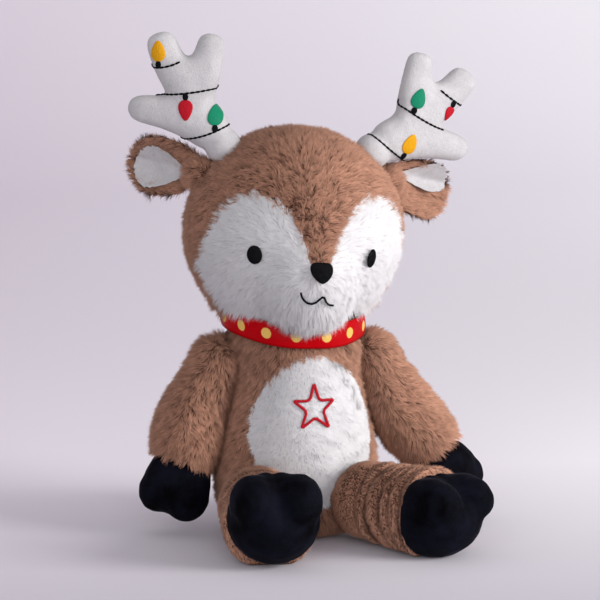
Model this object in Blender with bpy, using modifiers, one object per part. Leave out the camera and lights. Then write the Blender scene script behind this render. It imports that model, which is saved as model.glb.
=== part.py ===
"""Sitting plush deer: a soft toy with stuffed antlers, cupped ears, a ribbon at the neck and velvet hooves.

The toy sits on the floor plane and faces -Y, with its left side at +X. The origin is the middle of its seat.
"""

import math

import bmesh
import bpy
from mathutils import Matrix, Vector
from mathutils.bvhtree import BVHTree

# Clearances and fabric, in metres
SEWN_GAP = 0.0003
PRESSED_FLAT = 0.0005
CUT_OVERRUN = 0.020
SKIN_THICKNESS = 0.0025

# Torso, a stuffed pear that narrows under the arms and opens into the head at the neck
TORSO_HEIGHT = 0.157
TORSO_WIDTH = 0.116
TORSO_DEPTH = 0.110
NECK_OPENING = 0.088
PELLET_BAG_WIDTH = 0.064
PELLET_BAG_HEIGHT = 0.028

# Head, an oval with a muzzle that swells out low in front
HEAD_WIDTH = 0.155
HEAD_DEPTH = 0.140
HEAD_HEIGHT = 0.148
HEAD_CENTRE_HEIGHT = 0.210
HEAD_SHIFT = 0.001
HEAD_ROLL = math.radians(3.5)
MUZZLE_RADIUS = 0.034
MUZZLE_FORWARD = 0.047
MUZZLE_DROP = 0.030
MUZZLE_BLEND = 0.008
NECK_RECESS_WIDTH = 0.107

# White panels and the embroidery on them
PANEL_THICKNESS = 0.002
FACE_HALF_WIDTH = 0.072
FACE_TOP = 0.028
BELLY_WIDTH = 0.088
BELLY_HEIGHT = 0.104
BELLY_CENTRE_HEIGHT = 0.077
BELLY_SHIFT = 0.002
EYE_WIDTH = 0.0105
EYE_HEIGHT = 0.0130
EYE_AZIMUTH = math.radians(35)
EYE_ELEVATION = math.radians(-9)
NOSE_WIDTH = 0.0185
NOSE_HEIGHT = 0.0145
NOSE_THICKNESS = 0.005
NOSE_ELEVATION = math.radians(-13.5)
MOUTH_WIDTH = 0.027
MOUTH_DEPTH = 0.006
MOUTH_RAISE = 0.003
MOUTH_ELEVATION = math.radians(-23)
STITCH_THICKNESS = 0.0012
STITCH_WIDTH = 0.0016
STAR_RADIUS = 0.0155
STAR_STITCH_WIDTH = 0.0022
STAR_HEIGHT = 0.094

# Ribbon round the neck
RIBBON_WIDTH = 0.016
RIBBON_THICKNESS = 0.0012
RIBBON_HEIGHT = 0.144
RIBBON_ROLL = math.radians(2)
RIBBON_PITCH = math.radians(3)
RIBBON_OVERLAP = math.radians(24)
RIBBON_LOOSENESS = 0.0010

# Ears, leaves cupped to the front
EAR_LENGTH = 0.053
EAR_ROOT = 0.010
EAR_WIDTH = 0.043
EAR_THICKNESS = 0.006
EAR_LINING_THICKNESS = 0.002
EAR_CUP = 0.010
EAR_SWEEPS = {"right": math.radians(30), "left": math.radians(13)}
EAR_LIFTS = {"right": math.radians(7), "left": math.radians(-11)}
EAR_FLOP = math.radians(10)
EAR_NOSE_RADIUS = 0.0105
EAR_OUT = 0.0675
EAR_BACK = 0.008
EAR_UP = 0.0365

# Antlers, three tines on a leaning beam, with a string of lights sewn on
ANTLER_HEIGHT = 0.082
ANTLER_NOSE_RADIUS = 0.0130
ANTLER_FLATTENING_SHARE = 0.78
ANTLER_SWEEPS = {"right": math.radians(20), "left": math.radians(6)}
ANTLER_LEANS = {"right": math.radians(3.5), "left": math.radians(20)}
ANTLER_TILT = math.radians(6)
ANTLER_OUT = 0.053
ANTLER_BACK = 0.001
ANTLER_UP = 0.0565
BULB_WIDTH = 0.0105
BULB_HEIGHT = 0.0140
BULB_CAP_WIDTH = 0.0050
STRING_LIFT = 0.0007

# Arms, hanging from the shoulders, with velvet hands
SHOULDER_OUT = 0.056
SHOULDER_HEIGHT = 0.120
SHOULDER_RADIUS = 0.015
ARM_LENGTH = 0.072
ARM_WIDTH = 0.051
ARM_SPREADS = {"right": math.radians(17), "left": math.radians(31)}
HAND_LENGTH = 0.045
HAND_WIDTH = 0.050
HAND_DEPTH = 0.046
HAND_TURN = math.radians(40)

# Legs, lying forward on the floor, with velvet feet
HIP_OUT = 0.040
HIP_FORWARD = 0.056
HIP_RADIUS = 0.024
HIP_GROOVE = 0.004
LEG_LENGTH = 0.060
LEG_WIDTH = 0.058
LEG_WRINKLE = 0.0012
LEG_WRINKLES = 5
LEG_SPREADS = {"right": math.radians(5), "left": math.radians(28)}
FOOT_LENGTH = 0.037
FOOT_WIDTH = 0.065
FOOT_HEIGHT = 0.060

# Tail at the back of the seat
TAIL_LENGTH = 0.040
TAIL_WIDTH = 0.026
TAIL_HEIGHT = 0.036
TAIL_LIFT = math.radians(35)
TAIL_NOSE_RADIUS = 0.008
TAIL_WAG = math.radians(20)

# Outlines, as shares of the sizes that they follow
TORSO_WIDTH_SHARES = (
    (0.00, 0.64), (0.03, 0.80), (0.08, 0.90), (0.17, 0.975), (0.31, 1.00), (0.45, 0.95),
    (0.58, 0.865), (0.70, 0.795), (0.81, 0.785), (0.90, 0.83), (1.00, 0.835),
)
TORSO_DEPTH_SHARES = (
    (0.00, 0.64), (0.03, 0.80), (0.08, 0.90), (0.17, 0.975), (0.31, 1.00), (0.45, 0.985),
    (0.58, 0.945), (0.70, 0.90), (0.81, 0.87), (0.90, 0.86), (1.00, 0.86),
)
FACE_OUTLINE_SHARES = (
    (0.00, -0.72), (0.09, -0.66), (0.13, -0.45), (0.155, -0.15), (0.21, 0.18), (0.29, 0.54), (0.40, 0.86),
    (0.53, 1.00), (0.68, 0.84), (0.82, 0.42), (0.94, -0.18), (1.00, -0.85), (0.97, -1.60), (0.83, -2.30),
    (0.55, -3.20), (0.00, -3.20),
)
EAR_OUTLINE_SHARES = ((0.00, 0.66), (0.30, 0.84), (0.62, 1.00), (1.00, 1.04))
ARM_PROFILE_SHARES = ((0.16, 0.68), (0.32, 0.79), (0.50, 0.89), (0.70, 0.97), (0.88, 1.00), (1.00, 0.95))
LEG_PROFILE_SHARES = ((0.16, 0.86), (0.40, 0.94), (0.70, 1.00), (1.00, 0.98))
TAIL_PROFILE_SHARES = ((0.25, 0.80), (0.50, 1.00), (0.75, 0.84), (0.92, 0.45), (1.00, 0.00))
ANTLER_BONE_SHARES = {
    "root": ((0.00, 0.03), 0.190), "beam": ((0.13, 0.17), 0.210), "fork": ((0.28, 0.33), 0.220),
    "low": ((0.58, 0.31), 0.150), "low_tip": ((0.83, 0.325), 0.135),
    "crown": ((0.27, 0.44), 0.195), "inner": ((0.13, 0.66), 0.140), "inner_tip": ((0.08, 0.95), 0.125),
    "outer": ((0.45, 0.65), 0.150), "outer_tip": ((0.55, 0.96), 0.140),
}
ANTLER_BONES = (
    ("root", "beam"), ("beam", "fork"), ("fork", "low"), ("low", "low_tip"), ("fork", "crown"),
    ("crown", "inner"), ("inner", "inner_tip"), ("crown", "outer"), ("outer", "outer_tip"),
)
# Each string: its ends, its sag, the bulb's place along it, its side of it (1 up, -1 down) and its colour
STRING_SHARES = {
    "right": {
        "top": ((0.66, 0.67), (0.345, 0.705), 0.031, 0.41, 1, "yellow_thread"),
        "middle": ((0.57, 0.43), (-0.01, 0.50), 0.020, 0.47, -1, "red_thread"),
        "low": ((0.37, 0.06), (-0.07, 0.19), 0.035, 0.72, 1, "green_thread"),
    },
    "left": {
        "top": ((0.33, 0.70), (0.64, 0.655), 0.015, 0.50, -1, "red_thread"),
        "middle": ((-0.03, 0.48), (0.50, 0.40), 0.030, 0.37, 1, "green_thread"),
        "low": ((-0.12, 0.14), (0.32, 0.03), 0.020, 0.82, 1, "yellow_thread"),
    },
}

# Counts
BODY_FACETS = 22
BODY_RINGS = 13
FILLING_FACETS = 16
FILLING_RINGS = 10
LIMB_FACETS = 16
LOBE_FACETS = 12
PAD_FACETS = 10
PAD_RINGS = 5
STRING_POINTS = 12
MOUTH_POINTS = 12
ANTLER_FACES_SHARE = 0.72

SIDES = {"right": -1, "left": 1}
FINISHES = {
    "brown_plush": ((0.33, 0.17, 0.11), 0.95),
    "white_plush": ((0.80, 0.78, 0.80), 0.95),
    "white_velour": ((0.72, 0.70, 0.71), 0.90),
    "black_velvet": ((0.006, 0.006, 0.010), 0.85),
    "black_thread": ((0.008, 0.008, 0.010), 0.60),
    "red_thread": ((0.45, 0.01, 0.02), 0.60),
    "green_thread": ((0.01, 0.22, 0.10), 0.60),
    "yellow_thread": ((0.75, 0.36, 0.02), 0.60),
    "red_satin": ((0.52, 0.00, 0.01), 0.40),
    "stuffing": ((0.85, 0.85, 0.83), 1.00),
    "pellets": ((0.60, 0.62, 0.66), 0.80),
}


def material(name):
    if name in bpy.data.materials:
        return bpy.data.materials[name]
    colour, roughness = FINISHES[name]
    made = bpy.data.materials.new(name)
    made.use_nodes = True
    shader = made.node_tree.nodes["Principled BSDF"]
    shader.inputs["Base Color"].default_value = (*colour, 1)
    shader.inputs["Roughness"].default_value = roughness
    shader.inputs["Metallic"].default_value = 0
    return made


def collection(name):
    made = bpy.data.collections.new(name)
    bpy.context.scene.collection.children.link(made)
    return made


def pivot(name, matrix, parent=None):
    """An empty on a joint's axis, which the moving pieces are parented to."""
    made = bpy.data.objects.new(name, None)
    DEER.objects.link(made)
    made.parent = parent
    made.matrix_world = matrix
    bpy.context.view_layer.update()
    return made


def piece(name, mesh, finish, parent=None):
    """A named object for a mesh that is made in its place. Its origin goes to its parent's."""
    mesh.name = name
    mesh.materials.clear()
    mesh.materials.append(material(finish))
    made = bpy.data.objects.new(name, mesh)
    DEER.objects.link(made)
    if parent:
        mesh.transform(parent.matrix_world.inverted())
        made.parent = parent
    mesh.shade_smooth()
    return made


# Shapes


def blended(shares, along):
    """The value at a share of the way along a smooth curve through the points, which never overshoots them."""
    last = len(shares) - 1
    first = next((k for k in range(last) if along <= shares[k + 1][0]), last - 1)
    (x0, y0), (x1, y1) = shares[first], shares[first + 1]
    before, after = shares[max(first - 1, 0)], shares[min(first + 2, last)]
    step, rise = x1 - x0, y1 - y0
    slopes = [(y1 - before[1]) / (x1 - before[0]), (after[1] - y0) / (after[0] - x0)]
    slope0, slope1 = (slope if slope * rise > 0 else 0 for slope in slopes)
    t = (along - x0) / step
    return (
        (2 * t**3 - 3 * t**2 + 1) * y0
        + (t**3 - 2 * t**2 + t) * step * slope0
        + (3 * t**2 - 2 * t**3) * y1
        + (t**3 - t**2) * step * slope1
    )


def mesh_of(bm):
    bmesh.ops.triangulate(bm, faces=bm.faces[:], quad_method="FIXED")
    bmesh.ops.recalc_face_normals(bm, faces=bm.faces[:])
    if bm.calc_volume(signed=True) < 0:
        bmesh.ops.reverse_faces(bm, faces=bm.faces[:])
    mesh = bpy.data.meshes.new("form")
    bm.to_mesh(mesh)
    bm.free()
    return mesh


def ball_mesh(shape, facets=LIMB_FACETS, rings=None):
    """A unit ball whose points are placed by shape, which takes a point of it and gives its place."""
    bm = bmesh.new()
    half_facet = Matrix.Rotation(math.pi / facets, 4, "Z")
    bmesh.ops.create_uvsphere(bm, u_segments=facets, v_segments=rings or facets // 2, radius=1, matrix=half_facet)
    for vert in bm.verts:
        vert.co = shape(vert.co.copy())
    return mesh_of(bm)


def oval(centre, half_sizes, facets=LIMB_FACETS):
    return ball_mesh(lambda d: Vector(c + a * h for c, a, h in zip(centre, d, half_sizes)), facets)


def ball(centre, radius, facets=LIMB_FACETS):
    return oval(centre, (radius, radius, radius), facets)


def socket(centre, radius, facets=LOBE_FACETS):
    """A ball whose flats all clear a ball of this radius, however that one turns inside it."""
    return ball(centre, (radius + SEWN_GAP) / math.cos(math.pi / facets) ** 2, facets)


def turned(profile, facets=LIMB_FACETS):
    """A profile of (radius, height) points turned about Z. It starts and ends on the axis."""
    bm = bmesh.new()
    verts = [bm.verts.new((radius, 0, height)) for radius, height in profile]
    edges = [bm.edges.new(pair) for pair in zip(verts, verts[1:])]
    bmesh.ops.spin(bm, geom=verts + edges, axis=(0, 0, 1), angle=math.tau, steps=facets, use_merge=True)
    bmesh.ops.remove_doubles(bm, verts=bm.verts[:], dist=SEWN_GAP / 10)
    return mesh_of(bm)


def rings_mesh(rings, facets=BODY_FACETS):
    """A stack of oval rings, each (half width, half depth, height), bridged and closed at both ends."""
    bm = bmesh.new()
    loops = []
    for half_width, half_depth, height in rings:
        made = bmesh.ops.create_circle(bm, segments=facets, radius=1)["verts"]
        for vert in made:
            vert.co = Vector((vert.co.x * half_width, vert.co.y * half_depth, height))
        loops.append({edge for vert in made for edge in vert.link_edges})
    for low, high in zip(loops, loops[1:]):
        bmesh.ops.bridge_loops(bm, edges=list(low | high))
    for end in (loops[0], loops[-1]):
        bmesh.ops.contextual_create(bm, geom=list(end))
    return mesh_of(bm)


def block(low, high):
    bm = bmesh.new()
    bmesh.ops.create_cube(bm, size=1)
    for vert in bm.verts:
        vert.co = Vector((a + b) / 2 + c * (b - a) for a, b, c in zip(low, high, vert.co))
    return mesh_of(bm)


def prism(outline, front, back):
    """An outline of (x, z) points carried along Y from front to back."""
    bm = bmesh.new()
    face = bm.faces.new([bm.verts.new((x, front, z)) for x, z in outline])
    made = bmesh.ops.extrude_face_region(bm, geom=[face])["geom"]
    sides = [item for item in made if isinstance(item, bmesh.types.BMVert)]
    bmesh.ops.translate(bm, verts=sides, vec=(0, back - front, 0))
    return mesh_of(bm)


def thread(points, width, closed=False):
    """A round thread laid along points."""
    curve = bpy.data.curves.new("thread", "CURVE")
    curve.dimensions = "3D"
    curve.bevel_depth = width / 2
    curve.bevel_resolution = 1
    curve.use_fill_caps = not closed
    spline = curve.splines.new("POLY")
    spline.points.add(len(points) - 1)
    for at, place in zip(spline.points, points):
        at.co = (*place, 1)
    spline.use_cyclic_u = closed
    made = bpy.data.objects.new("thread", curve)
    CUTTERS.objects.link(made)
    bpy.context.view_layer.update()
    graph = bpy.context.evaluated_depsgraph_get()
    bm = bmesh.new()
    bm.from_mesh(bpy.data.meshes.new_from_object(made.evaluated_get(graph)))
    bmesh.ops.remove_doubles(bm, verts=bm.verts[:], dist=SEWN_GAP / 10)
    bpy.data.objects.remove(made)
    return mesh_of(bm)


def combined(mesh, others, operation):
    """The mesh after a Boolean with each of the others, in turn."""
    solid = bpy.data.objects.new("solid", mesh)
    CUTTERS.objects.link(solid)
    tools = [bpy.data.objects.new("tool", other) for other in others]
    for tool in tools:
        CUTTERS.objects.link(tool)
        modifier = solid.modifiers.new("Boolean", "BOOLEAN")
        modifier.operation = operation
        modifier.solver = "EXACT"
        modifier.object = tool
    bpy.context.view_layer.update()
    graph = bpy.context.evaluated_depsgraph_get()
    result = bpy.data.meshes.new_from_object(solid.evaluated_get(graph))
    for used in tools + [solid]:
        bpy.data.objects.remove(used)
    return result


def cut(mesh, *others):
    return combined(mesh, others, "DIFFERENCE")


def joined(mesh, *others):
    return combined(mesh, others, "UNION")


def shared_part(mesh, *others):
    return combined(mesh, others, "INTERSECT")


def placed(mesh, matrix):
    mesh.transform(matrix)
    return mesh


def relieved(mesh, frame, axis, swing, hull):
    """A piece cut clear of what hull makes, at rest and at both ends of its swing about an axis of its frame."""
    tools = []
    for angle in (0, -swing, swing):
        turn = frame @ Matrix.Rotation(angle, 4, axis) @ frame.inverted()
        tools.append(placed(hull(-SEWN_GAP), turn))
    return cut(mesh, *tools)


def floor_block():
    """What lies below the floor, which presses a form flat where it rests."""
    reach = TORSO_HEIGHT + HEAD_WIDTH
    return block((-reach, -reach, -CUT_OVERRUN), (reach, reach, 0))


# Frames of the pieces that move


def head_frame():
    return Matrix.Translation((-HEAD_SHIFT, 0, HEAD_CENTRE_HEIGHT)) @ Matrix.Rotation(HEAD_ROLL, 4, "Y")


def ear_frame(side):
    """Local X runs out along the ear, Y to its back and Z up. The right ear's is mirrored."""
    place = Matrix.Translation((SIDES[side] * EAR_OUT, EAR_BACK, EAR_UP))
    mirror = Matrix.Diagonal((SIDES[side], 1, 1, 1))
    turn = Matrix.Rotation(EAR_SWEEPS[side], 4, "Z") @ Matrix.Rotation(-EAR_LIFTS[side], 4, "Y")
    return head_frame() @ place @ mirror @ turn


def antler_frame(side):
    """Local X runs outwards across the tines, Y to the back and Z up. The right antler's is mirrored."""
    place = Matrix.Translation((SIDES[side] * ANTLER_OUT, ANTLER_BACK, ANTLER_UP))
    mirror = Matrix.Diagonal((SIDES[side], 1, 1, 1))
    turn = Matrix.Rotation(ANTLER_SWEEPS[side], 4, "Z") @ Matrix.Rotation(ANTLER_LEANS[side], 4, "Y")
    return head_frame() @ place @ mirror @ turn


def arm_frame(side):
    """Local Z runs down the arm from the shoulder, X outwards and Y to the back. The right arm's is mirrored."""
    place = Matrix.Translation((SIDES[side] * SHOULDER_OUT, 0, SHOULDER_HEIGHT))
    mirror = Matrix.Diagonal((SIDES[side], 1, -1, 1))
    return place @ mirror @ Matrix.Rotation(ARM_SPREADS[side], 4, "Y")


def leg_frame(side):
    """Local Z runs along the leg from the hip to the sole, X outwards and Y up. The right leg's is mirrored."""
    place = Matrix.Translation((SIDES[side] * HIP_OUT, -HIP_FORWARD, LEG_WIDTH / 2 - PRESSED_FLAT))
    mirror = Matrix.Diagonal((SIDES[side], 1, 1, 1))
    return place @ mirror @ Matrix.Rotation(LEG_SPREADS[side], 4, "Z") @ Matrix.Rotation(math.pi / 2, 4, "X")


def tail_frame():
    """Local Z runs along the tail from its root."""
    root = torso_point(math.pi, TAIL_HEIGHT, TAIL_NOSE_RADIUS / 2)
    return Matrix.Translation(root) @ Matrix.Rotation(TAIL_LIFT - math.pi / 2, 4, "X")


# Torso


def torso_half_sizes(height):
    along = (height + PRESSED_FLAT) / (TORSO_HEIGHT + PRESSED_FLAT)
    half_width = blended(TORSO_WIDTH_SHARES, along) * TORSO_WIDTH / 2
    half_depth = blended(TORSO_DEPTH_SHARES, along) * TORSO_DEPTH / 2
    return half_width, half_depth


def torso_point(azimuth, height, lift=0):
    """A point over the torso's side. Azimuth 0 is the front, and it grows towards the toy's left."""
    half_width, half_depth = torso_half_sizes(height)
    return Vector(
        ((half_width + lift) * math.sin(azimuth), -(half_depth + lift) * math.cos(azimuth), height)
    )


def torso_hull(inset, top=TORSO_HEIGHT, facets=BODY_FACETS):
    """The torso's form before the limbs' seats are cut, drawn in all round by inset."""
    bottom = max(inset, 0) - PRESSED_FLAT
    heights = [share * (TORSO_HEIGHT + PRESSED_FLAT) - PRESSED_FLAT for share, _ in TORSO_WIDTH_SHARES]
    inner = [height for height in heights[1:-1] if height > bottom + SKIN_THICKNESS / 2]
    rings = []
    for height in [bottom] + inner + [top]:
        half_width, half_depth = torso_half_sizes(min(height, TORSO_HEIGHT))
        rings.append((half_width - inset, half_depth - inset, height))
    return rings_mesh(rings, facets)


def limb_seats(inset):
    """The hollows of the torso that hold the shoulders, the hips and the tail, each widened by inset."""
    seats = [socket(tail_frame().translation, TAIL_NOSE_RADIUS + inset)]
    for side in SIDES:
        seats.append(socket(arm_frame(side).translation, SHOULDER_RADIUS + inset))
        seats.append(placed(hip_hollow(inset), Matrix.Translation(leg_frame(side).translation)))
    return seats


def hip_hollow(inset):
    """A dome over the root of a leg, with a wider skirt below it for the leg to swing down into."""
    steps = LOBE_FACETS // 2
    dome = (HIP_RADIUS + SEWN_GAP + inset) / math.cos(math.pi / LOBE_FACETS) / math.cos(math.pi / steps / 4)
    skirt = dome + HIP_GROOVE
    low = -CUT_OVERRUN - LEG_WIDTH
    angles = [math.pi / 2 * step / steps for step in range(steps + 1)]
    profile = [(dome * math.sin(angle), dome * math.cos(angle)) for angle in angles]
    return turned(profile + [(skirt, -HIP_GROOVE), (skirt, low), (0, low)], LOBE_FACETS)


def make_torso():
    cavity = cut(
        torso_hull(SKIN_THICKNESS, TORSO_HEIGHT + CUT_OVERRUN, FILLING_FACETS), *limb_seats(SKIN_THICKNESS)
    )
    piece("torso_skin", cut(cut(torso_hull(0), *limb_seats(0)), cavity, floor_block()), "brown_plush")

    bag_bottom = SKIN_THICKNESS + SEWN_GAP
    piece("pellet_bag", pellet_bag(0, bag_bottom), "pellets")
    pocket = pellet_bag(SEWN_GAP, bag_bottom - CUT_OVERRUN)
    filling = torso_hull(bag_bottom, facets=FILLING_FACETS)
    piece("torso_stuffing", cut(filling, pocket, *limb_seats(bag_bottom)), "stuffing")


def pellet_bag(growth, bottom):
    """A round bag that lies in the seat. With growth and a lower bottom it cuts its own pocket."""
    radius = PELLET_BAG_WIDTH / 2 + growth
    top = SKIN_THICKNESS + SEWN_GAP + PELLET_BAG_HEIGHT + growth
    middle = SKIN_THICKNESS + SEWN_GAP + PELLET_BAG_HEIGHT / 2
    corner = radius * math.cos(math.pi / 4)
    profile = [(0, bottom), (corner, bottom), (radius, middle), (corner, top - growth), (0, top)]
    return turned(profile, BODY_FACETS // 2)


def make_belly():
    outline = []
    for i in range(BODY_FACETS):
        angle = math.tau * i / BODY_FACETS
        x = math.sin(angle) * BELLY_WIDTH / 2 + BELLY_SHIFT
        z = math.cos(angle) * BELLY_HEIGHT / 2 + BELLY_CENTRE_HEIGHT
        outline.append((x, z))
    sheet = cut(torso_hull(-SEWN_GAP - PANEL_THICKNESS), torso_hull(-SEWN_GAP, TORSO_HEIGHT + CUT_OVERRUN))
    patch = shared_part(sheet, prism(outline, -TORSO_DEPTH, -TORSO_DEPTH / 8))
    piece("belly_patch", cut(patch, *limb_seats(PANEL_THICKNESS)), "white_plush")

    lift = SEWN_GAP * 2 + PANEL_THICKNESS + STAR_STITCH_WIDTH / 2
    points = []
    for i in range(10):
        radius = STAR_RADIUS if i % 2 == 0 else STAR_RADIUS * math.cos(math.tau / 5) / math.cos(math.tau / 10)
        angle = math.tau * i / 10
        azimuth = (radius * math.sin(angle) + BELLY_SHIFT) / torso_half_sizes(STAR_HEIGHT)[0]
        points.append(torso_point(azimuth, STAR_HEIGHT + radius * math.cos(angle), lift))
    halves = [(a + b) / 2 for a, b in zip(points, points[1:] + points[:1])]
    route = [point for pair in zip(points, halves) for point in pair]
    piece("star_stitching", thread(route, STAR_STITCH_WIDTH, closed=True), "red_thread")


def make_ribbon():
    """One turn of ribbon, whose ends overlap at the nape, where they are sewn down."""
    half_width, half_depth = torso_half_sizes(RIBBON_HEIGHT)
    bm = bmesh.new()
    turn = math.tau + RIBBON_OVERLAP
    steps = BODY_FACETS + 2
    loop = []
    for i in range(steps + 1):
        share = i / steps
        angle = -RIBBON_OVERLAP / 2 + turn * share
        lift = RIBBON_LOOSENESS + (RIBBON_THICKNESS + SEWN_GAP) * blended(((0, 0), (0.85, 0), (0.93, 1), (1, 1)), share)
        x = (half_width + lift) * math.sin(angle)
        y = (half_depth + lift) * math.cos(angle)
        loop.append(bm.verts.new((x, y, -RIBBON_WIDTH / 2)))
    edges = [bm.edges.new(pair) for pair in zip(loop, loop[1:])]
    made = bmesh.ops.extrude_edge_only(bm, edges=edges)["geom"]
    upper = [item for item in made if isinstance(item, bmesh.types.BMVert)]
    bmesh.ops.translate(bm, verts=upper, vec=(0, 0, RIBBON_WIDTH))
    mesh = bpy.data.meshes.new("form")
    bm.to_mesh(mesh)
    bm.free()
    scratch = bpy.data.objects.new("ribbon", mesh)
    CUTTERS.objects.link(scratch)
    solidify = scratch.modifiers.new("Solidify", "SOLIDIFY")
    solidify.thickness = RIBBON_THICKNESS
    solidify.offset = 1
    bpy.context.view_layer.update()
    graph = bpy.context.evaluated_depsgraph_get()
    band = bpy.data.meshes.new_from_object(scratch.evaluated_get(graph))
    bpy.data.objects.remove(scratch)
    tilt = Matrix.Rotation(RIBBON_ROLL, 4, "Y") @ Matrix.Rotation(RIBBON_PITCH, 4, "X")
    piece("neck_ribbon", placed(band, Matrix.Translation((0, 0, RIBBON_HEIGHT)) @ tilt), "red_satin")


def make_tail(parent):
    profile = [(0, -TAIL_NOSE_RADIUS)]
    profile += [nose_point(TAIL_NOSE_RADIUS, step) for step in range(1, 4)]
    profile += [(share * TAIL_WIDTH / 2, along * TAIL_LENGTH) for along, share in TAIL_PROFILE_SHARES]
    frame = tail_frame()
    form = relieved(placed(turned(profile, LOBE_FACETS), frame), frame, "X", TAIL_WAG, torso_hull)
    root = ball(frame.translation, TAIL_NOSE_RADIUS, LOBE_FACETS)
    piece("tail", joined(form, root), "brown_plush", parent)


def nose_point(radius, step, steps=4):
    """A point of the round nose at a limb's root, in (radius, height), from its pole to its widest."""
    angle = math.pi / 2 * step / steps
    return radius * math.sin(angle), -radius * math.cos(angle)


# Head


def head_radius(direction):
    """How far the head's surface lies from its centre that way: an oval that flows into a round muzzle."""
    half_sizes = (HEAD_WIDTH / 2, HEAD_DEPTH / 2, HEAD_HEIGHT / 2)
    oval_radius = 1 / math.sqrt(sum((d / h) ** 2 for d, h in zip(direction, half_sizes)))
    muzzle = Vector((0, -MUZZLE_FORWARD, -MUZZLE_DROP))
    towards = direction.dot(muzzle)
    room = towards**2 - muzzle.length_squared + MUZZLE_RADIUS**2
    if room <= 0:
        return oval_radius
    muzzle_radius = towards + math.sqrt(room)
    mix = min(max((1 + (muzzle_radius - oval_radius) / MUZZLE_BLEND) / 2, 0), 1)
    return oval_radius * (1 - mix) + muzzle_radius * mix + MUZZLE_BLEND * mix * (1 - mix)


def head_hull(inset, facets=BODY_FACETS, rings=BODY_RINGS):
    frame = head_frame()
    return ball_mesh(lambda d: frame @ (d * (head_radius(d) - inset)), facets, rings)


def on_head(azimuth, elevation, right, up):
    """A point on the head's face, this far right and up of a direction, seen from the front."""
    level = math.cos(elevation)
    middle = Vector((level * math.sin(azimuth), -level * math.cos(azimuth), math.sin(elevation)))
    across = Vector((math.cos(azimuth), math.sin(azimuth), 0))
    upward = across.cross(-middle)
    direction = (middle * head_radius(middle) + across * right + upward * up).normalized()
    return head_frame() @ (direction * head_radius(direction))


def head_seats(inset):
    """The hollows of the head that hold the ears and the antlers, each widened by inset."""
    seats = []
    for side in SIDES:
        seats.append(socket(ear_frame(side).translation, EAR_NOSE_RADIUS + inset))
        seats.append(socket(antler_frame(side).translation, ANTLER_NOSE_RADIUS + inset))
    return seats


def neck_recess(growth=0):
    """The round hollow under the head that takes the neck and the ribbon, so that the head can turn."""
    radius = NECK_RECESS_WIDTH / 2 + growth
    top = TORSO_HEIGHT + SEWN_GAP + growth
    low = top - RIBBON_WIDTH - CUT_OVERRUN
    return turned([(0, low), (radius, low), (radius, top), (0, top)], BODY_FACETS)


def make_head(parent):
    opening = NECK_OPENING / 2
    overlap = TORSO_HEIGHT + SKIN_THICKNESS * 3
    cavity = cut(
        head_hull(SKIN_THICKNESS, FILLING_FACETS, FILLING_RINGS),
        neck_recess(SKIN_THICKNESS),
        *head_seats(SKIN_THICKNESS),
    )
    bottom = TORSO_HEIGHT - CUT_OVERRUN
    throat = turned([(0, bottom), (opening, bottom), (opening, overlap), (0, overlap)], FILLING_FACETS)
    shell = cut(head_hull(0), neck_recess(), *head_seats(0))
    piece("head_skin", cut(shell, cavity, throat), "brown_plush", parent)

    deeper = SKIN_THICKNESS + SEWN_GAP
    filling = cut(head_hull(deeper, FILLING_FACETS, FILLING_RINGS), neck_recess(deeper), *head_seats(deeper))
    plug_radius = opening - SEWN_GAP * 2
    plug_bottom = TORSO_HEIGHT + SEWN_GAP
    plug = turned(
        [(0, plug_bottom), (plug_radius, plug_bottom), (plug_radius, overlap), (0, overlap)], FILLING_FACETS
    )
    piece("head_stuffing", joined(filling, plug), "stuffing", parent)


def make_face(parent):
    half = [(x * FACE_HALF_WIDTH, z * FACE_TOP) for x, z in FACE_OUTLINE_SHARES]
    outline = half + [(-x, z) for x, z in reversed(half[1:-1])]
    frame = head_frame()
    sheet = cut(head_hull(-SEWN_GAP - PANEL_THICKNESS), head_hull(-SEWN_GAP))
    front = placed(prism(outline, -HEAD_DEPTH, -HEAD_DEPTH / 10), frame)
    panel = cut(shared_part(sheet, front), neck_recess())
    piece("face_panel", panel, "white_plush", parent)

    tree = bvh_of(head_hull(-SEWN_GAP - PANEL_THICKNESS))

    def on_panel(azimuth, elevation, right, up, lift):
        """A point over the panel's flats, which lie lower than the round form that they follow."""
        out = (on_head(azimuth, elevation, right, up) - frame.translation).normalized()
        return tree.ray_cast(frame.translation, out)[0] + out * lift

    for side, sign in SIDES.items():
        mesh = pad(
            lambda x, z, lift: on_panel(sign * EYE_AZIMUTH, EYE_ELEVATION, x, z, lift),
            EYE_WIDTH / 2, EYE_HEIGHT / 2, SEWN_GAP, STITCH_THICKNESS,
        )
        piece(f"eye_{side}", mesh, "black_thread", parent)
    mesh = pad(
        lambda x, z, lift: on_panel(0, NOSE_ELEVATION, x, z, lift),
        NOSE_WIDTH / 2, NOSE_HEIGHT / 2, SEWN_GAP, NOSE_THICKNESS, narrowing=0.55,
    )
    piece("nose", mesh, "black_thread", parent)

    route = []
    for i in range(MOUTH_POINTS + 1):
        share = 2 * i / MOUTH_POINTS - 1
        dip = max(math.sin(math.pi * abs(share)), 0) ** 0.8
        height = MOUTH_RAISE * share**4 - MOUTH_DEPTH * dip
        lift = SEWN_GAP + STITCH_WIDTH / 2
        route.append(on_panel(0, MOUTH_ELEVATION, share * MOUTH_WIDTH / 2, height, lift))
    piece("mouth_stitching", thread(route, STITCH_WIDTH), "black_thread", parent)


def pad(surface, half_width, half_height, base, thickness, narrowing=0):
    """A sewn pad on a surface: a ball pressed flat onto it. Its lower end is narrowed by a share."""

    def shape(point):
        width = half_width * (1 - narrowing * (1 - point.y) / 2)
        return surface(point.x * width, point.y * half_height, base + thickness * (point.z + 1) / 2)

    return ball_mesh(shape, PAD_FACETS, PAD_RINGS)


# Ears and antlers


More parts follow.
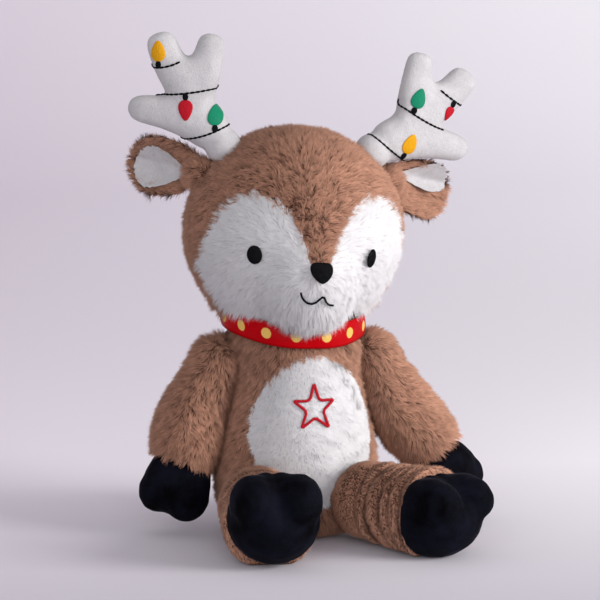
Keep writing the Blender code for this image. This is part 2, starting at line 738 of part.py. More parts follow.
def leaf(start, end, half_width, thickness, forward):
    """A leaf along X from start to end, cupped to the front, whose middle lies this far forward."""

    def shape(point):
        share = (point.x + 1) / 2
        along = start + (end - start) * share
        across = point.y * half_width * blended(EAR_OUTLINE_SHARES, share)
        hollow = 1 - (across / (EAR_WIDTH / 2)) ** 2
        cup = EAR_CUP * hollow * min(max(along / EAR_LENGTH * 2, 0), 1)
        return Vector((along, cup - forward + thickness * point.z / 2, across))

    return ball_mesh(shape, LIMB_FACETS, PAD_RINGS * 2)


def make_ear(side, parent):
    frame = ear_frame(side)
    shell = leaf(-EAR_ROOT, EAR_LENGTH, EAR_WIDTH / 2, EAR_THICKNESS, 0)
    shell = relieved(facing_out(placed(shell, frame)), frame, "Y", EAR_FLOP, head_hull)
    root = ball(frame.translation, EAR_NOSE_RADIUS)
    piece(f"ear_{side}", joined(shell, root), "brown_plush", parent)
    forward = (EAR_THICKNESS + EAR_LINING_THICKNESS) / 2 + SEWN_GAP * 2
    lining = leaf(EAR_LENGTH * 0.20, EAR_LENGTH * 0.92, EAR_WIDTH * 0.37, EAR_LINING_THICKNESS, forward)
    piece(f"ear_lining_{side}", facing_out(placed(lining, frame)), "white_velour", parent)


def facing_out(mesh):
    """A mirrored frame turns a mesh's faces inwards, and this turns them out again."""
    bm = bmesh.new()
    bm.from_mesh(mesh)
    return mesh_of(bm)


def antler_mesh():
    """Stuffed tines that flow into one another, grown round a skeleton of bones, flat from front to back."""
    bm = bmesh.new()
    verts = {}
    for name, ((x, z), _) in ANTLER_BONE_SHARES.items():
        verts[name] = bm.verts.new((x * ANTLER_HEIGHT, 0, z * ANTLER_HEIGHT))
    for pair in ANTLER_BONES:
        bm.edges.new([verts[name] for name in pair])
    mesh = bpy.data.meshes.new("antler")
    bm.to_mesh(mesh)
    bm.free()
    scratch = bpy.data.objects.new("antler", mesh)
    CUTTERS.objects.link(scratch)
    scratch.modifiers.new("Skin", "SKIN").use_smooth_shade = True
    for at, (_, radius) in zip(mesh.skin_vertices[0].data, ANTLER_BONE_SHARES.values()):
        at.radius = (radius * ANTLER_HEIGHT, radius * ANTLER_HEIGHT)
    mesh.skin_vertices[0].data[0].use_root = True
    smooth = scratch.modifiers.new("Subdivision", "SUBSURF")
    smooth.levels = smooth.render_levels = 2
    scratch.modifiers.new("Decimate", "DECIMATE").ratio = ANTLER_FACES_SHARE
    bpy.context.view_layer.update()
    graph = bpy.context.evaluated_depsgraph_get()
    form = bpy.data.meshes.new_from_object(scratch.evaluated_get(graph))
    bpy.data.objects.remove(scratch)
    return placed(form, Matrix.Diagonal((1, ANTLER_FLATTENING_SHARE, 1, 1)))


def make_antler(side, parent):
    frame = antler_frame(side)
    form = relieved(facing_out(placed(antler_mesh(), frame)), frame, "Y", ANTLER_TILT, head_hull)
    antler = joined(form, ball(frame.translation, ANTLER_NOSE_RADIUS))
    flat = antler.copy()
    flat.transform(frame.inverted())
    tree = bvh_of(facing_out(flat))
    piece(f"antler_{side}", antler, "white_velour", parent)

    def front(x, z, lift):
        """A point over the antler's front. Past its edge it stays on the edge."""
        at, normal, _, _ = tree.ray_cast(Vector((x, -ANTLER_HEIGHT, z)), Vector((0, 1, 0)))
        if at is None:
            at, normal, _, _ = tree.find_nearest(Vector((x, 0, z)))
        return at + normal * lift

    for name, (first, last, sag, bulb_share, up, colour) in STRING_SHARES[side].items():
        start, end = Vector(first) * ANTLER_HEIGHT, Vector(last) * ANTLER_HEIGHT
        lift = SEWN_GAP + STRING_LIFT + STITCH_WIDTH / 2

        def on_string(share):
            at = start.lerp(end, share)
            return at.x, at.y - sag * ANTLER_HEIGHT * 4 * share * (1 - share)

        route = [front(*on_string(i / STRING_POINTS), lift) for i in range(STRING_POINTS + 1)]
        x, z = on_string(bulb_share)
        cap_z = z + up * BULB_CAP_WIDTH / 2
        cap = pad(
            lambda a, b, l: front(x + a, cap_z + b, l), BULB_CAP_WIDTH / 2, BULB_CAP_WIDTH / 2,
            SEWN_GAP + STRING_LIFT, STITCH_WIDTH,
        )
        string = joined(thread(route, STITCH_WIDTH), cap)
        piece(f"string_{name}_{side}", facing_out(placed(string, frame)), "black_thread", parent)
        bulb_z = cap_z + up * ((BULB_CAP_WIDTH + BULB_HEIGHT) / 2 + SEWN_GAP * 2)
        bulb = pad(
            lambda a, b, l: front(x + a, bulb_z + b, l), BULB_WIDTH / 2, BULB_HEIGHT / 2,
            SEWN_GAP + STRING_LIFT, STITCH_WIDTH,
        )
        piece(f"bulb_{name}_{side}", facing_out(placed(bulb, frame)), colour, parent)


def bvh_of(mesh):
    bm = bmesh.new()
    bm.from_mesh(mesh)
    tree = BVHTree.FromBMesh(bm)
    bm.free()
    return tree


# Limbs


def make_arm(side, parent):
    frame = arm_frame(side)
    profile = [(0, -SHOULDER_RADIUS)] + [nose_point(SHOULDER_RADIUS, step) for step in range(1, 5)]
    profile += [(share * ARM_WIDTH / 2, along * ARM_LENGTH) for along, share in ARM_PROFILE_SHARES]
    profile += [(0, ARM_LENGTH)]
    arm = facing_out(placed(turned(profile), frame))
    arm = cut(arm, torso_hull(-SEWN_GAP))
    nose = ball(frame.translation, SHOULDER_RADIUS)
    piece(f"arm_{side}", joined(arm, nose), "brown_plush", parent)

    cuff = ARM_LENGTH + SEWN_GAP
    main = oval(
        (0, 0, cuff + HAND_LENGTH * 0.42), (HAND_WIDTH * 0.49, HAND_DEPTH / 2, HAND_LENGTH * 0.54), LOBE_FACETS
    )
    lobes = [
        oval(
            (sign * HAND_WIDTH * 0.22, 0, cuff + HAND_LENGTH * 0.62),
            (HAND_WIDTH * 0.29, HAND_DEPTH * 0.44, HAND_LENGTH * 0.38),
            LOBE_FACETS,
        )
        for sign in SIDES.values()
    ]
    hand = joined(main, *lobes)
    above = block((-HAND_WIDTH, -HAND_WIDTH, -CUT_OVERRUN), (HAND_WIDTH, HAND_WIDTH, cuff))
    hand = facing_out(placed(cut(hand, above), frame @ Matrix.Rotation(HAND_TURN, 4, "Z")))
    piece(f"hand_{side}", hand, "black_velvet", parent)


def make_leg(side, parent):
    frame = leg_frame(side)
    profile = [(0, -HIP_RADIUS)] + [nose_point(HIP_RADIUS, step) for step in range(1, 5)]
    steps = LEG_WRINKLES * 2
    start = LEG_PROFILE_SHARES[0][0]
    for i in range(steps + 1):
        along = start + (1 - start) * i / steps
        ripple = LEG_WRINKLE * math.cos(math.pi * i)
        profile.append((blended(LEG_PROFILE_SHARES, along) * LEG_WIDTH / 2 - LEG_WRINKLE + ripple, along * LEG_LENGTH))
    profile += [(0, LEG_LENGTH)]
    leg = facing_out(placed(turned(profile), frame))
    piece(f"leg_{side}", cut(leg, floor_block()), "brown_plush", parent)

    cuff = LEG_LENGTH + SEWN_GAP
    main = oval((0, 0, cuff), (FOOT_WIDTH / 2, FOOT_HEIGHT / 2, FOOT_LENGTH), LIMB_FACETS)
    lobes = [
        oval(
            (sign * FOOT_WIDTH * 0.23, FOOT_HEIGHT * 0.20, cuff + FOOT_LENGTH * 0.38),
            (FOOT_WIDTH * 0.26, FOOT_HEIGHT * 0.30, FOOT_LENGTH * 0.70),
            LOBE_FACETS,
        )
        for sign in SIDES.values()
    ]
    foot = joined(main, *lobes)
    behind = block((-FOOT_WIDTH, -FOOT_WIDTH, -LEG_LENGTH), (FOOT_WIDTH, FOOT_WIDTH, cuff))
    foot = facing_out(placed(cut(foot, behind), frame))
    piece(f"foot_{side}", cut(foot, floor_block()), "black_velvet", parent)


for old in list(bpy.data.objects):
    bpy.data.objects.remove(old)
DEER = collection("Plush deer")
CUTTERS = collection("Cutters")
CUTTERS.hide_render = True

make_torso()
make_belly()
make_ribbon()
make_tail(pivot("tail_pivot", tail_frame()))
head_pivot = pivot("head_pivot", Matrix.Translation((0, 0, TORSO_HEIGHT)))
make_head(head_pivot)
make_face(head_pivot)
for side in SIDES:
    make_ear(side, pivot(f"ear_pivot_{side}", Matrix.Translation(ear_frame(side).translation), head_pivot))
    make_antler(side, pivot(f"antler_pivot_{side}", Matrix.Translation(antler_frame(side).translation), head_pivot))
    make_arm(side, pivot(f"arm_pivot_{side}", Matrix.Translation(arm_frame(side).translation)))
    make_leg(side, pivot(f"leg_pivot_{side}", Matrix.Translation(leg_frame(side).translation)))
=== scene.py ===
"""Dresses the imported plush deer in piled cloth, velour, velvet, a satin ribbon and embroidery."""

import math

import bmesh
import bpy
import numpy as np
from mathutils import Matrix, Vector
from mathutils.bvhtree import BVHTree
from mathutils.kdtree import KDTree


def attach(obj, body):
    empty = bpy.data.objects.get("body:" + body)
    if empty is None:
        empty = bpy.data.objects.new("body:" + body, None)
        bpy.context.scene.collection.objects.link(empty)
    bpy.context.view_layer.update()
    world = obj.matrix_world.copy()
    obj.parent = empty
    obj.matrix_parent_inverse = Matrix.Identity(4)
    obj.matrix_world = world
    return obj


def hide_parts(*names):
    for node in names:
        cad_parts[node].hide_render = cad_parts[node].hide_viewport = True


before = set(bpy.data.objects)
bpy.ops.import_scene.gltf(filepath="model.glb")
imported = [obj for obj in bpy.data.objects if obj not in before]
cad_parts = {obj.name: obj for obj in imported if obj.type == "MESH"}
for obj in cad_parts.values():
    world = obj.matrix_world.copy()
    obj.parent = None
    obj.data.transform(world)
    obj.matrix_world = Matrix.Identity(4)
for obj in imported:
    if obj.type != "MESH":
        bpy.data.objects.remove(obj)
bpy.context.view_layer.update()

# The torso is a stuffed pear of brown plush: a front and two back panels, sewn at the sides and the spine.
# The cloth's backing is the closed form, and the pile that shows grows out of it in tufts, leaning down.
# Tufts lean together in small clumps, and their roots are painted darker than their tips: painted shade, the
# dark that falls down between the tufts.
MM = 0.001
TORSO_HEIGHT = 157 * MM
TORSO_WIDTH = 116 * MM
TORSO_DEPTH = 110 * MM
TORSO_WIDTH_SHARES = (
    (0.00, 0.64), (0.03, 0.80), (0.08, 0.90), (0.17, 0.975), (0.31, 1.00), (0.45, 0.95),
    (0.58, 0.865), (0.70, 0.795), (0.81, 0.785), (0.90, 0.83), (1.00, 0.835),
)
TORSO_DEPTH_SHARES = (
    (0.00, 0.64), (0.03, 0.80), (0.08, 0.90), (0.17, 0.975), (0.31, 1.00), (0.45, 0.985),
    (0.58, 0.945), (0.70, 0.90), (0.81, 0.87), (0.90, 0.86), (1.00, 0.86),
)
# A pile's lean and stray are in degrees. Clump is how many tufts lean together, and clumping how closely.
BROWN_PILE = {
    "length": 6.8 * MM, "radius": 0.25 * MM, "per_mm2": 2.5, "lean": 42, "stray": 30,
    "clump": 9, "clumping": 0.4, "waves": 0.32,
}
# The tips' colour is the plush's own. The roots' colour is painted shade, the dark that falls between the
# tufts.
BROWN_TIPS = (0.555, 0.285, 0.187)
BROWN_SHADED_ROOTS = (0.095, 0.037, 0.021)
SIDES = {"right": -1, "left": 1}


class Share:
    """A number that varies over a surface: a shader socket that takes part in sums."""

    def __init__(self, finish, socket):
        self.finish, self.socket = finish, socket

    def sum(self, operation, *terms, clamp=False):
        settings = {"operation": operation, "use_clamp": clamp}
        return self.finish.node("ShaderNodeMath", settings, dict(enumerate(terms)))

    def __add__(self, other):
        return self.sum("ADD", self, other)

    def __radd__(self, other):
        return self.sum("ADD", other, self)

    def __sub__(self, other):
        return self.sum("SUBTRACT", self, other)

    def __rsub__(self, other):
        return self.sum("SUBTRACT", other, self)

    def __mul__(self, other):
        return self.sum("MULTIPLY", self, other)

    def __rmul__(self, other):
        return self.sum("MULTIPLY", other, self)

    def __pow__(self, other):
        return self.sum("POWER", self, other)

    def of(self, operation):
        return self.sum(operation, self)

    def within(self):
        return self.sum("ADD", self, 0, clamp=True)


class Finish:
    """A cloth's or thread's material, on one Principled shader, and the CAD material that it stands for.

    Plain values go straight onto the shader's sockets.
    """

    def __init__(self, name, slot=None, **plain):
        self.slot = slot or name
        self.material = bpy.data.materials.new(name)
        self.material.use_nodes = True
        self.nodes = self.material.node_tree.nodes
        self.shader = self.nodes["Principled BSDF"]
        for socket, value in plain.items():
            self.shader.inputs[socket.replace("_", " ").title().replace("Ior", "IOR")].default_value = value

    def node(self, kind, settings, values, out=0):
        """Adds a node: its type, its settings, and the values or links of its sockets, which come last."""
        made = self.nodes.new(kind)
        for key, value in settings.items():
            setattr(made, key, value)
        for socket, value in values.items():
            if isinstance(value, Share):
                self.material.node_tree.links.new(value.socket, made.inputs[socket])
            else:
                made.inputs[socket].default_value = value
        return Share(self, made.outputs[out])

    def feed(self, socket, value):
        self.material.node_tree.links.new(value.socket, self.shader.inputs[socket])

    def attribute(self, name):
        return self.node("ShaderNodeAttribute", {"attribute_name": name}, {}, "Fac")

    def place(self):
        return self.node("ShaderNodeTexCoord", {}, {}, "Object")

    def split(self, place):
        """The first two numbers of a place."""
        first = self.node("ShaderNodeSeparateXYZ", {}, {0: place}, "X")
        return first, Share(self, first.socket.node.outputs["Y"])

    def noise(self, scale, detail=2.0, roughness=0.5, at=None):
        values = {"Vector": at or self.place(), "Scale": scale, "Detail": detail, "Roughness": roughness}
        return self.node("ShaderNodeTexNoise", {}, values, "Fac")

    def mixed(self, share, first, second):
        """One colour turning into another by a share."""
        values = {0: share, 6: self.colour(first), 7: self.colour(second)}
        return self.node("ShaderNodeMix", {"data_type": "RGBA"}, values, 2)

    def colour(self, value):
        return value if isinstance(value, Share) else (*value, 1)

    def relief(self, height, distance, strength=1.0):
        values = {"Height": height, "Distance": distance, "Strength": strength}
        self.feed("Normal", self.node("ShaderNodeBump", {}, values, "Normal"))


def plush(name, tips, roots, sheen, evenness):
    """Piled cloth with painted shade: darker at the roots between the tufts and down in folds, lighter on the
    ridges between folds. It is also uneven from tuft to tuft and patch to patch.
    """
    tint = (*[min(1, c * 1.3 + 0.2) for c in tips], 1)
    cloth = Finish(name, roughness=0.92, sheen_weight=sheen, sheen_roughness=0.6, sheen_tint=tint)
    uneven = cloth.attribute("tuft") * 0.35 + cloth.attribute("clump") * 0.55 + cloth.noise(38, 3, 0.6) * 0.35
    # Painted shade: the colour darkens towards each tuft's root, where shade falls between the tufts.
    lightness = (cloth.attribute("along") ** 0.75) * (uneven * (1 - evenness) + 0.32 + evenness * 0.62)
    # Painted shade and light: tufts rooted down in a leg's folds are darkened, and those on the ridges
    # between are lightened.
    lightness = lightness * (1 - cloth.attribute("deep") * 0.92)
    cloth.feed("Base Color", cloth.mixed(lightness.within(), roots, tips))
    return cloth


def blended(shares, along):
    """The value at a share of the way along a smooth curve through points, which doesn't overshoot them."""
    last = len(shares) - 1
    first = next((k for k in range(last) if along <= shares[k + 1][0]), last - 1)
    (x0, y0), (x1, y1) = shares[first], shares[first + 1]
    before, after = shares[max(first - 1, 0)], shares[min(first + 2, last)]
    step, rise = x1 - x0, y1 - y0
    slopes = [(y1 - before[1]) / (x1 - before[0]), (after[1] - y0) / (after[0] - x0)]
    slope0, slope1 = (slope if slope * rise > 0 else 0 for slope in slopes)
    t = (along - x0) / step
    return (
        (2 * t**3 - 3 * t**2 + 1) * y0
        + (t**3 - 2 * t**2 + t) * step * slope0
        + (3 * t**2 - 2 * t**3) * y1
        + (t**3 - t**2) * step * slope1
    )


def placed(name, data):
    """Puts a mesh, a lamp or a lens into the scene."""
    made = bpy.data.objects.new(name, data)
    bpy.context.scene.collection.objects.link(made)
    return made


def smooth_object(name, bm, finish):
    """Turns a finished bmesh into a smooth object."""
    mesh = bpy.data.meshes.new(name)
    bm.to_mesh(mesh)
    bm.free()
    mesh.shade_smooth()
    mesh.materials.append(finish.material)
    return placed(name, mesh)


def made_piece(name, bm, body, finish):
    """Turns a finished bmesh into a piece that rides on a body."""
    piece = smooth_object(name, bm, finish)
    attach(piece, body)
    return piece


def smoothed(bm, times, upright=True):
    for _ in range(times):
        bmesh.ops.smooth_vert(
            bm, verts=bm.verts[:], factor=0.5, use_axis_x=True, use_axis_y=True, use_axis_z=upright
        )


def spun(profile, steps=72):
    """A profile of (radius, height) points spun about Z into a closed form."""
    bm = bmesh.new()
    verts = [bm.verts.new((radius, 0, height)) for radius, height in profile]
    edges = [bm.edges.new(pair) for pair in zip(verts, verts[1:])]
    bmesh.ops.spin(bm, geom=verts + edges, axis=(0, 0, 1), angle=math.tau, steps=steps, use_merge=True)
    bmesh.ops.remove_doubles(bm, verts=bm.verts[:], dist=0.01 * MM)
    bmesh.ops.recalc_face_normals(bm, faces=bm.faces[:])
    return bm


def tuft_form():
    """One tuft of pile, standing along Z: a three-sided cone that is closed below."""
    bm = bmesh.new()
    middle = Matrix.Translation((0, 0, 0.5))
    bmesh.ops.create_cone(bm, cap_ends=True, segments=3, radius1=1, radius2=0, depth=1, matrix=middle)
    bmesh.ops.remove_doubles(bm, verts=bm.verts[:], dist=0.001)
    bmesh.ops.recalc_face_normals(bm, faces=bm.faces[:])
    bm.verts.index_update()
    points = np.array([vert.co for vert in bm.verts])
    faces = [[vert.index for vert in face.verts] for face in bm.faces]
    bm.free()
    return points, faces


TUFT_POINTS, TUFT_FACES = tuft_form()


def turned_to(vectors):
    return vectors / np.maximum(np.linalg.norm(vectors, axis=1, keepdims=True), 1e-9)


def of_verts(mesh, key):
    """What the vertices hold under a key, such as their places, in rows of three."""
    values = np.empty(len(mesh.vertices) * 3)
    mesh.vertices.foreach_get(key, values)
    return values.reshape(-1, 3)


def tree_of(places):
    """A tree that finds the nearest of the places."""
    tree = KDTree(len(places))
    for index, place in enumerate(places):
        tree.insert(place, index)
    tree.balance()
    return tree


def roots_on(backing, per_mm2, seed):
    """Roots spread evenly over a backing, and the way out of the cloth at each."""
    rng = np.random.default_rng(seed)
    mesh = backing.data
    mesh.calc_loop_triangles()
    corners = np.empty(len(mesh.loop_triangles) * 3, np.int32)
    mesh.loop_triangles.foreach_get("vertices", corners)
    corners = corners.reshape(-1, 3)
    places, normals = of_verts(mesh, "co")[corners], of_verts(mesh, "normal")[corners]
    areas = np.linalg.norm(np.cross(places[:, 1] - places[:, 0], places[:, 2] - places[:, 0]), axis=1) / 2
    count = int(areas.sum() / MM**2 * per_mm2)
    chosen = rng.choice(len(areas), count, p=areas / areas.sum())
    u, v = rng.random((2, count, 1))
    outside = u + v > 1
    u, v = np.where(outside, 1 - u, u), np.where(outside, 1 - v, v)
    weights = np.stack([1 - u - v, u, v], axis=1)
    return (places[chosen] * weights).sum(1), turned_to((normals[chosen] * weights).sum(1)), rng


def swirl(points, size, seed):
    """A smooth wandering value from -1 to 1 over space, with waves about as long as size."""
    rng = np.random.default_rng(seed)
    waves = rng.normal(size=(6, 3))
    waves = waves / np.linalg.norm(waves, axis=1, keepdims=True) * math.tau / size
    waves *= rng.uniform(0.6, 1.6, (6, 1))
    return np.sin(points @ waves.T + rng.uniform(0, math.tau, 6)).sum(1) / 6 * 1.6


def lie_of(roots, out, pile, flow, rng, seed):
    """The way each tuft lies: with the pile's flow, wandering in broad and narrow waves, and leaning over."""
    along = flow(roots, out)
    along = turned_to(along - out * (along * out).sum(1, keepdims=True))
    stray = np.radians(pile["stray"])
    wander = swirl(roots, 38 * MM, seed) + 1.3 * swirl(roots, 12 * MM, seed + 1)
    wander = wander + swirl(roots, 6 * MM, seed + 3)
    turn = (stray * wander + rng.normal(0, stray * 0.6, len(roots)))[:, None]
    along = along * np.cos(turn) + np.cross(out, along) * np.sin(turn)
    lean = np.radians(pile["lean"]) + pile["waves"] * swirl(roots, 11 * MM, seed + 2)
    lean = np.clip(lean + rng.normal(0, 0.16, len(roots)), 0.15, 1.35)[:, None]
    return out * np.cos(lean) + along * np.sin(lean)


ROOT_DEPTH = 0.5 * MM
FLOOR_GAP = 0.2 * MM
DROOP = 0.10


def tuft_corners(roots, out, tips, radius, rng):
    """The corners of each tuft from its root to its tip, and the way that each faces the light."""
    forward = turned_to(tips - roots)
    side = turned_to(np.cross(out, forward) + 1e-6)
    upper = np.cross(forward, side)
    centres = np.stack([roots - out * ROOT_DEPTH, tips], axis=1)
    level = np.round(TUFT_POINTS[:, 2]).astype(int)
    thick = radius * rng.uniform(0.75, 1.25, (len(roots), 1, 1))
    rim = side[:, None] * TUFT_POINTS[None, :, 0, None] + upper[:, None] * TUFT_POINTS[None, :, 1, None]
    places = centres[:, level] + rim * thick
    places[..., 2] = np.maximum(places[..., 2], FLOOR_GAP)
    facing = rim * 0.55 + out[:, None] * 0.75 + forward[:, None] * 0.10
    facing /= np.linalg.norm(facing, axis=2, keepdims=True)
    facing[..., 2] = np.maximum(facing[..., 2], -0.35)
    return places, facing / np.linalg.norm(facing, axis=2, keepdims=True)


def tuft_mesh(name, places, facing, by_tuft, finish):
    """Joins tufts into one mesh. Each has its own small square on the UV map."""
    count, size = places.shape[:2]
    sides = np.array([len(face) for face in TUFT_FACES])
    loops = np.concatenate(TUFT_FACES)
    starts = np.arange(count)[:, None]
    first = np.concatenate([[0], np.cumsum(sides)[:-1]])
    mesh = bpy.data.meshes.new(name)
    mesh.vertices.add(count * size)
    mesh.vertices.foreach_set("co", places.astype(np.float32).ravel())
    mesh.loops.add(count * len(loops))
    mesh.loops.foreach_set("vertex_index", (starts * size + loops).astype(np.int32).ravel())
    mesh.polygons.add(count * len(sides))
    mesh.polygons.foreach_set("loop_start", (starts * len(loops) + first).astype(np.int32).ravel())
    mesh.update(calc_edges=True)
    by_corner = {"along": np.tile(TUFT_POINTS[:, 2], count)}
    by_corner.update({label: np.repeat(values, size) for label, values in by_tuft.items()})
    for label, values in by_corner.items():
        mesh.attributes.new(label, "FLOAT", "POINT").data.foreach_set("value", values.astype(np.float32))
    across = math.ceil(math.sqrt(count))
    cell = np.stack([starts[:, 0] % across, starts[:, 0] // across], axis=1)[:, None]
    inner = np.stack([0.5 + 0.4 * TUFT_POINTS[loops, 0], 0.1 + 0.8 * TUFT_POINTS[loops, 2]], axis=1)[None]
    uv = mesh.uv_layers.new(name="OFBake")
    uv.data.foreach_set("uv", ((cell + inner) / across).astype(np.float32).ravel())
    mesh.shade_smooth()
    mesh.normals_split_custom_set_from_vertices(facing.reshape(-1, 3))
    mesh.materials.append(finish.material)
    return mesh


def everywhere(points):
    return np.full(len(points), True)


def grow_pile(backing, body, finish, pile, flow, panels, keep=None, length=None, shade=None, seed=1):
    """Grows tufts on a backing, one piece for each panel of the cloth. The backing stays as their ground."""
    roots, out, rng = roots_on(backing, pile["per_mm2"], seed)
    if keep is not None:
        held = keep(roots, out)
        roots, out = roots[held], out[held]
    count = len(roots)
    lie = lie_of(roots, out, pile, flow, rng, seed)
    reach = pile["length"] * rng.uniform(0.72, 1.18, (count, 1))
    if length is not None:
        reach = reach * length(roots, out)[:, None]
    tips = roots + reach * lie
    tips[:, 2] -= reach[:, 0] * DROOP
    heads = rng.permutation(count)[: max(count // pile["clump"], 1)]
    tree = tree_of(roots[heads])
    clump = np.array([tree.find(root)[1] for root in roots])
    pull = pile["clumping"] * rng.uniform(0.5, 1.2, (count, 1))
    tips += (tips[heads][clump] - tips) * np.clip(pull, 0, 0.85)
    places, facing = tuft_corners(roots, out, tips, pile["radius"], rng)
    by_tuft = {"clump": rng.random(len(heads))[clump], "tuft": rng.random(count)}
    # Painted shade from the folds; none where the pile has no folds.
    by_tuft["deep"] = np.zeros(count) if shade is None else shade(roots, out)
    pieces = []
    for name, inside in panels.items():
        picked = np.flatnonzero(inside(roots))
        shares = {label: values[picked] for label, values in by_tuft.items()}
        piece = placed(name, tuft_mesh(name, places[picked], facing[picked], shares, finish))
        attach(piece, body)
        pieces.append(piece)
    return pieces


SEAT_SINK = 0.5 * MM


def torso_half_sizes(height):
    """Half the torso's width and depth at a height."""
    along = min(max((height + SEAT_SINK) / (TORSO_HEIGHT + SEAT_SINK), 0), 1)
    half_width = blended(TORSO_WIDTH_SHARES, along) * TORSO_WIDTH / 2
    return half_width, blended(TORSO_DEPTH_SHARES, along) * TORSO_DEPTH / 2


def torso_form(inset):
    """The torso's form drawn in by inset, flat below where it is sat on."""
    heights = np.linspace(inset * 0.3, TORSO_HEIGHT, 48)
    bm = spun([(0, heights[0])] + [(1, height) for height in heights] + [(0, heights[-1])])
    for vert in bm.verts:
        half_width, half_depth = torso_half_sizes(vert.co.z)
        vert.co.x *= half_width - inset
        vert.co.y *= half_depth - inset
    smoothed(bm, 1, upright=False)
    return bm


BELLY_WIDTH = 88 * MM
BELLY_HEIGHT = 104 * MM
BELLY_CENTRE_HEIGHT = 77 * MM
BELLY_SHIFT = 2 * MM
RIBBON_HEIGHT = 150.5 * MM
RIBBON_ROLL = math.radians(3)
RIBBON_SAG = 8.5 * MM
SHOULDER_TUFTS_OUT = 47 * MM
SHOULDER_TUFTS_HEIGHT = 134 * MM
SHOULDER_TUFTS_WIDTH = 11 * MM
PILE_DEPTH = 4.6 * MM
# The white backing's grey is painted shade, darker than the white cloth.
SHADED_WHITE_KNIT = (0.50, 0.48, 0.50)

brown_plush = plush("brown_plush", BROWN_TIPS, BROWN_SHADED_ROOTS, 0.08, 0.0)
# The backing's colours are painted shade: the knit that shows between the tufts is made as dark as the shade
# down there, in brown and in white.
backing_cloth = Finish("plush_backing", slot="brown_plush", roughness=1.0)
knit = backing_cloth.noise(900, 1)
shaded_brown_knit = backing_cloth.mixed(knit, [c * 0.5 for c in BROWN_SHADED_ROOTS], [c * 0.9 for c in BROWN_SHADED_ROOTS])
both_shaded_knits = backing_cloth.mixed(backing_cloth.attribute("white"), shaded_brown_knit, SHADED_WHITE_KNIT)
backing_cloth.feed("Base Color", both_shaded_knits)


def mark_white(backing, inside):
    """Marks where a backing is the white panel's own."""
    white = inside(of_verts(backing.data, "co")).astype(np.float32)
    backing.data.attributes.new("white", "FLOAT", "POINT").data.foreach_set("value", white)


def on_belly(points):
    """The belly's patch is an oval, a little narrower above."""
    z = (points[:, 2] - BELLY_CENTRE_HEIGHT) / (BELLY_HEIGHT / 2)
    x = (points[:, 0] - BELLY_SHIFT * 1.6) / (BELLY_WIDTH / 2) * (1.05 + 0.10 * z)
    return (x**2 + z**2 < 1) & (points[:, 1] < 0)


def downwards(points, out):
    return np.tile((0.0, -0.1, -1.0), (len(points), 1))


def ribbon_middle(x, y):
    """The height of the ribbon's middle line, which sags in front."""
    front = np.clip(-y / torso_half_sizes(RIBBON_HEIGHT)[1], 0, 1) ** 1.3
    return RIBBON_HEIGHT - x * math.tan(RIBBON_ROLL) - RIBBON_SAG * front


def ribbon_pinch(points, out):
    """The pile is short at the ribbon and where it is sat on, and long over the shoulders' seams."""
    x, y, z = points.T
    near = np.abs(z - ribbon_middle(x, y))
    from_shoulder = (np.abs(x) - SHOULDER_TUFTS_OUT) ** 2 + (z - SHOULDER_TUFTS_HEIGHT) ** 2
    shoulder = np.exp(-from_shoulder / SHOULDER_TUFTS_WIDTH**2)
    return np.clip((near - 7 * MM) / (4 * MM), 0.25, 1) * np.clip(z / (8 * MM), 0.3, 1) * (1 + 0.7 * shoulder)


def on_brown_torso(points, out):
    """The brown pile ends at the belly's patch, under the head, and at the flat of the seat."""
    return ~on_belly(points) & (points[:, 2] < 152 * MM) & (points[:, 2] > 2 * MM) & (out[:, 2] < 0.7)


torso_backing = made_piece("torso_backing", torso_form(PILE_DEPTH), "torso", backing_cloth)
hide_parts("torso_skin", "torso_stuffing")
mark_white(torso_backing, on_belly)
grow_pile(
    torso_backing, "torso", brown_plush, BROWN_PILE, downwards,
    {
        "torso_front": lambda p: p[:, 1] < 0, "torso_back_right": lambda p: (p[:, 1] >= 0) & (p[:, 0] < 0),
        "torso_back_left": lambda p: (p[:, 1] >= 0) & (p[:, 0] >= 0),
    },
    keep=on_brown_torso, length=ribbon_pinch, seed=11,
)

# The belly is a patch of white plush sewn over the front, with a shorter, finer pile.
# A five-pointed star is embroidered on it in red thread, as an outline of one row of close stitches.
WHITE_PILE = {
    "length": 5.5 * MM, "radius": 0.24 * MM, "per_mm2": 3.4, "lean": 55, "stray": 18,
    "clump": 12, "clumping": 0.35, "waves": 0.32,
}
BELLY_PILE = dict(
    WHITE_PILE, length=4.4 * MM, radius=0.30 * MM, lean=44, waves=0.08, per_mm2=4.2, clumping=0.1, stray=40
)
WHITE_TIPS = (0.850, 0.832, 0.845)
# The roots' colour is painted shade, the grey that falls between the white tufts.
WHITE_SHADED_ROOTS = (0.56, 0.545, 0.555)
STAR_RADIUS = 16.6 * MM
STAR_HEIGHT = 93 * MM
STAR_STITCH_WIDTH = 2.1 * MM
STAR_STITCH = 1.7 * MM
STAR_SINK = 2.5 * MM

white_plush = plush("white_plush", WHITE_TIPS, WHITE_SHADED_ROOTS, 0.08, 0.6)
def torso_point(azimuth, height, lift):
    """A point over the torso's surface, at an angle round from the front."""
    half_width, half_depth = torso_half_sizes(height)
    return Vector(((half_width + lift) * math.sin(azimuth), -(half_depth + lift) * math.cos(azimuth), height))


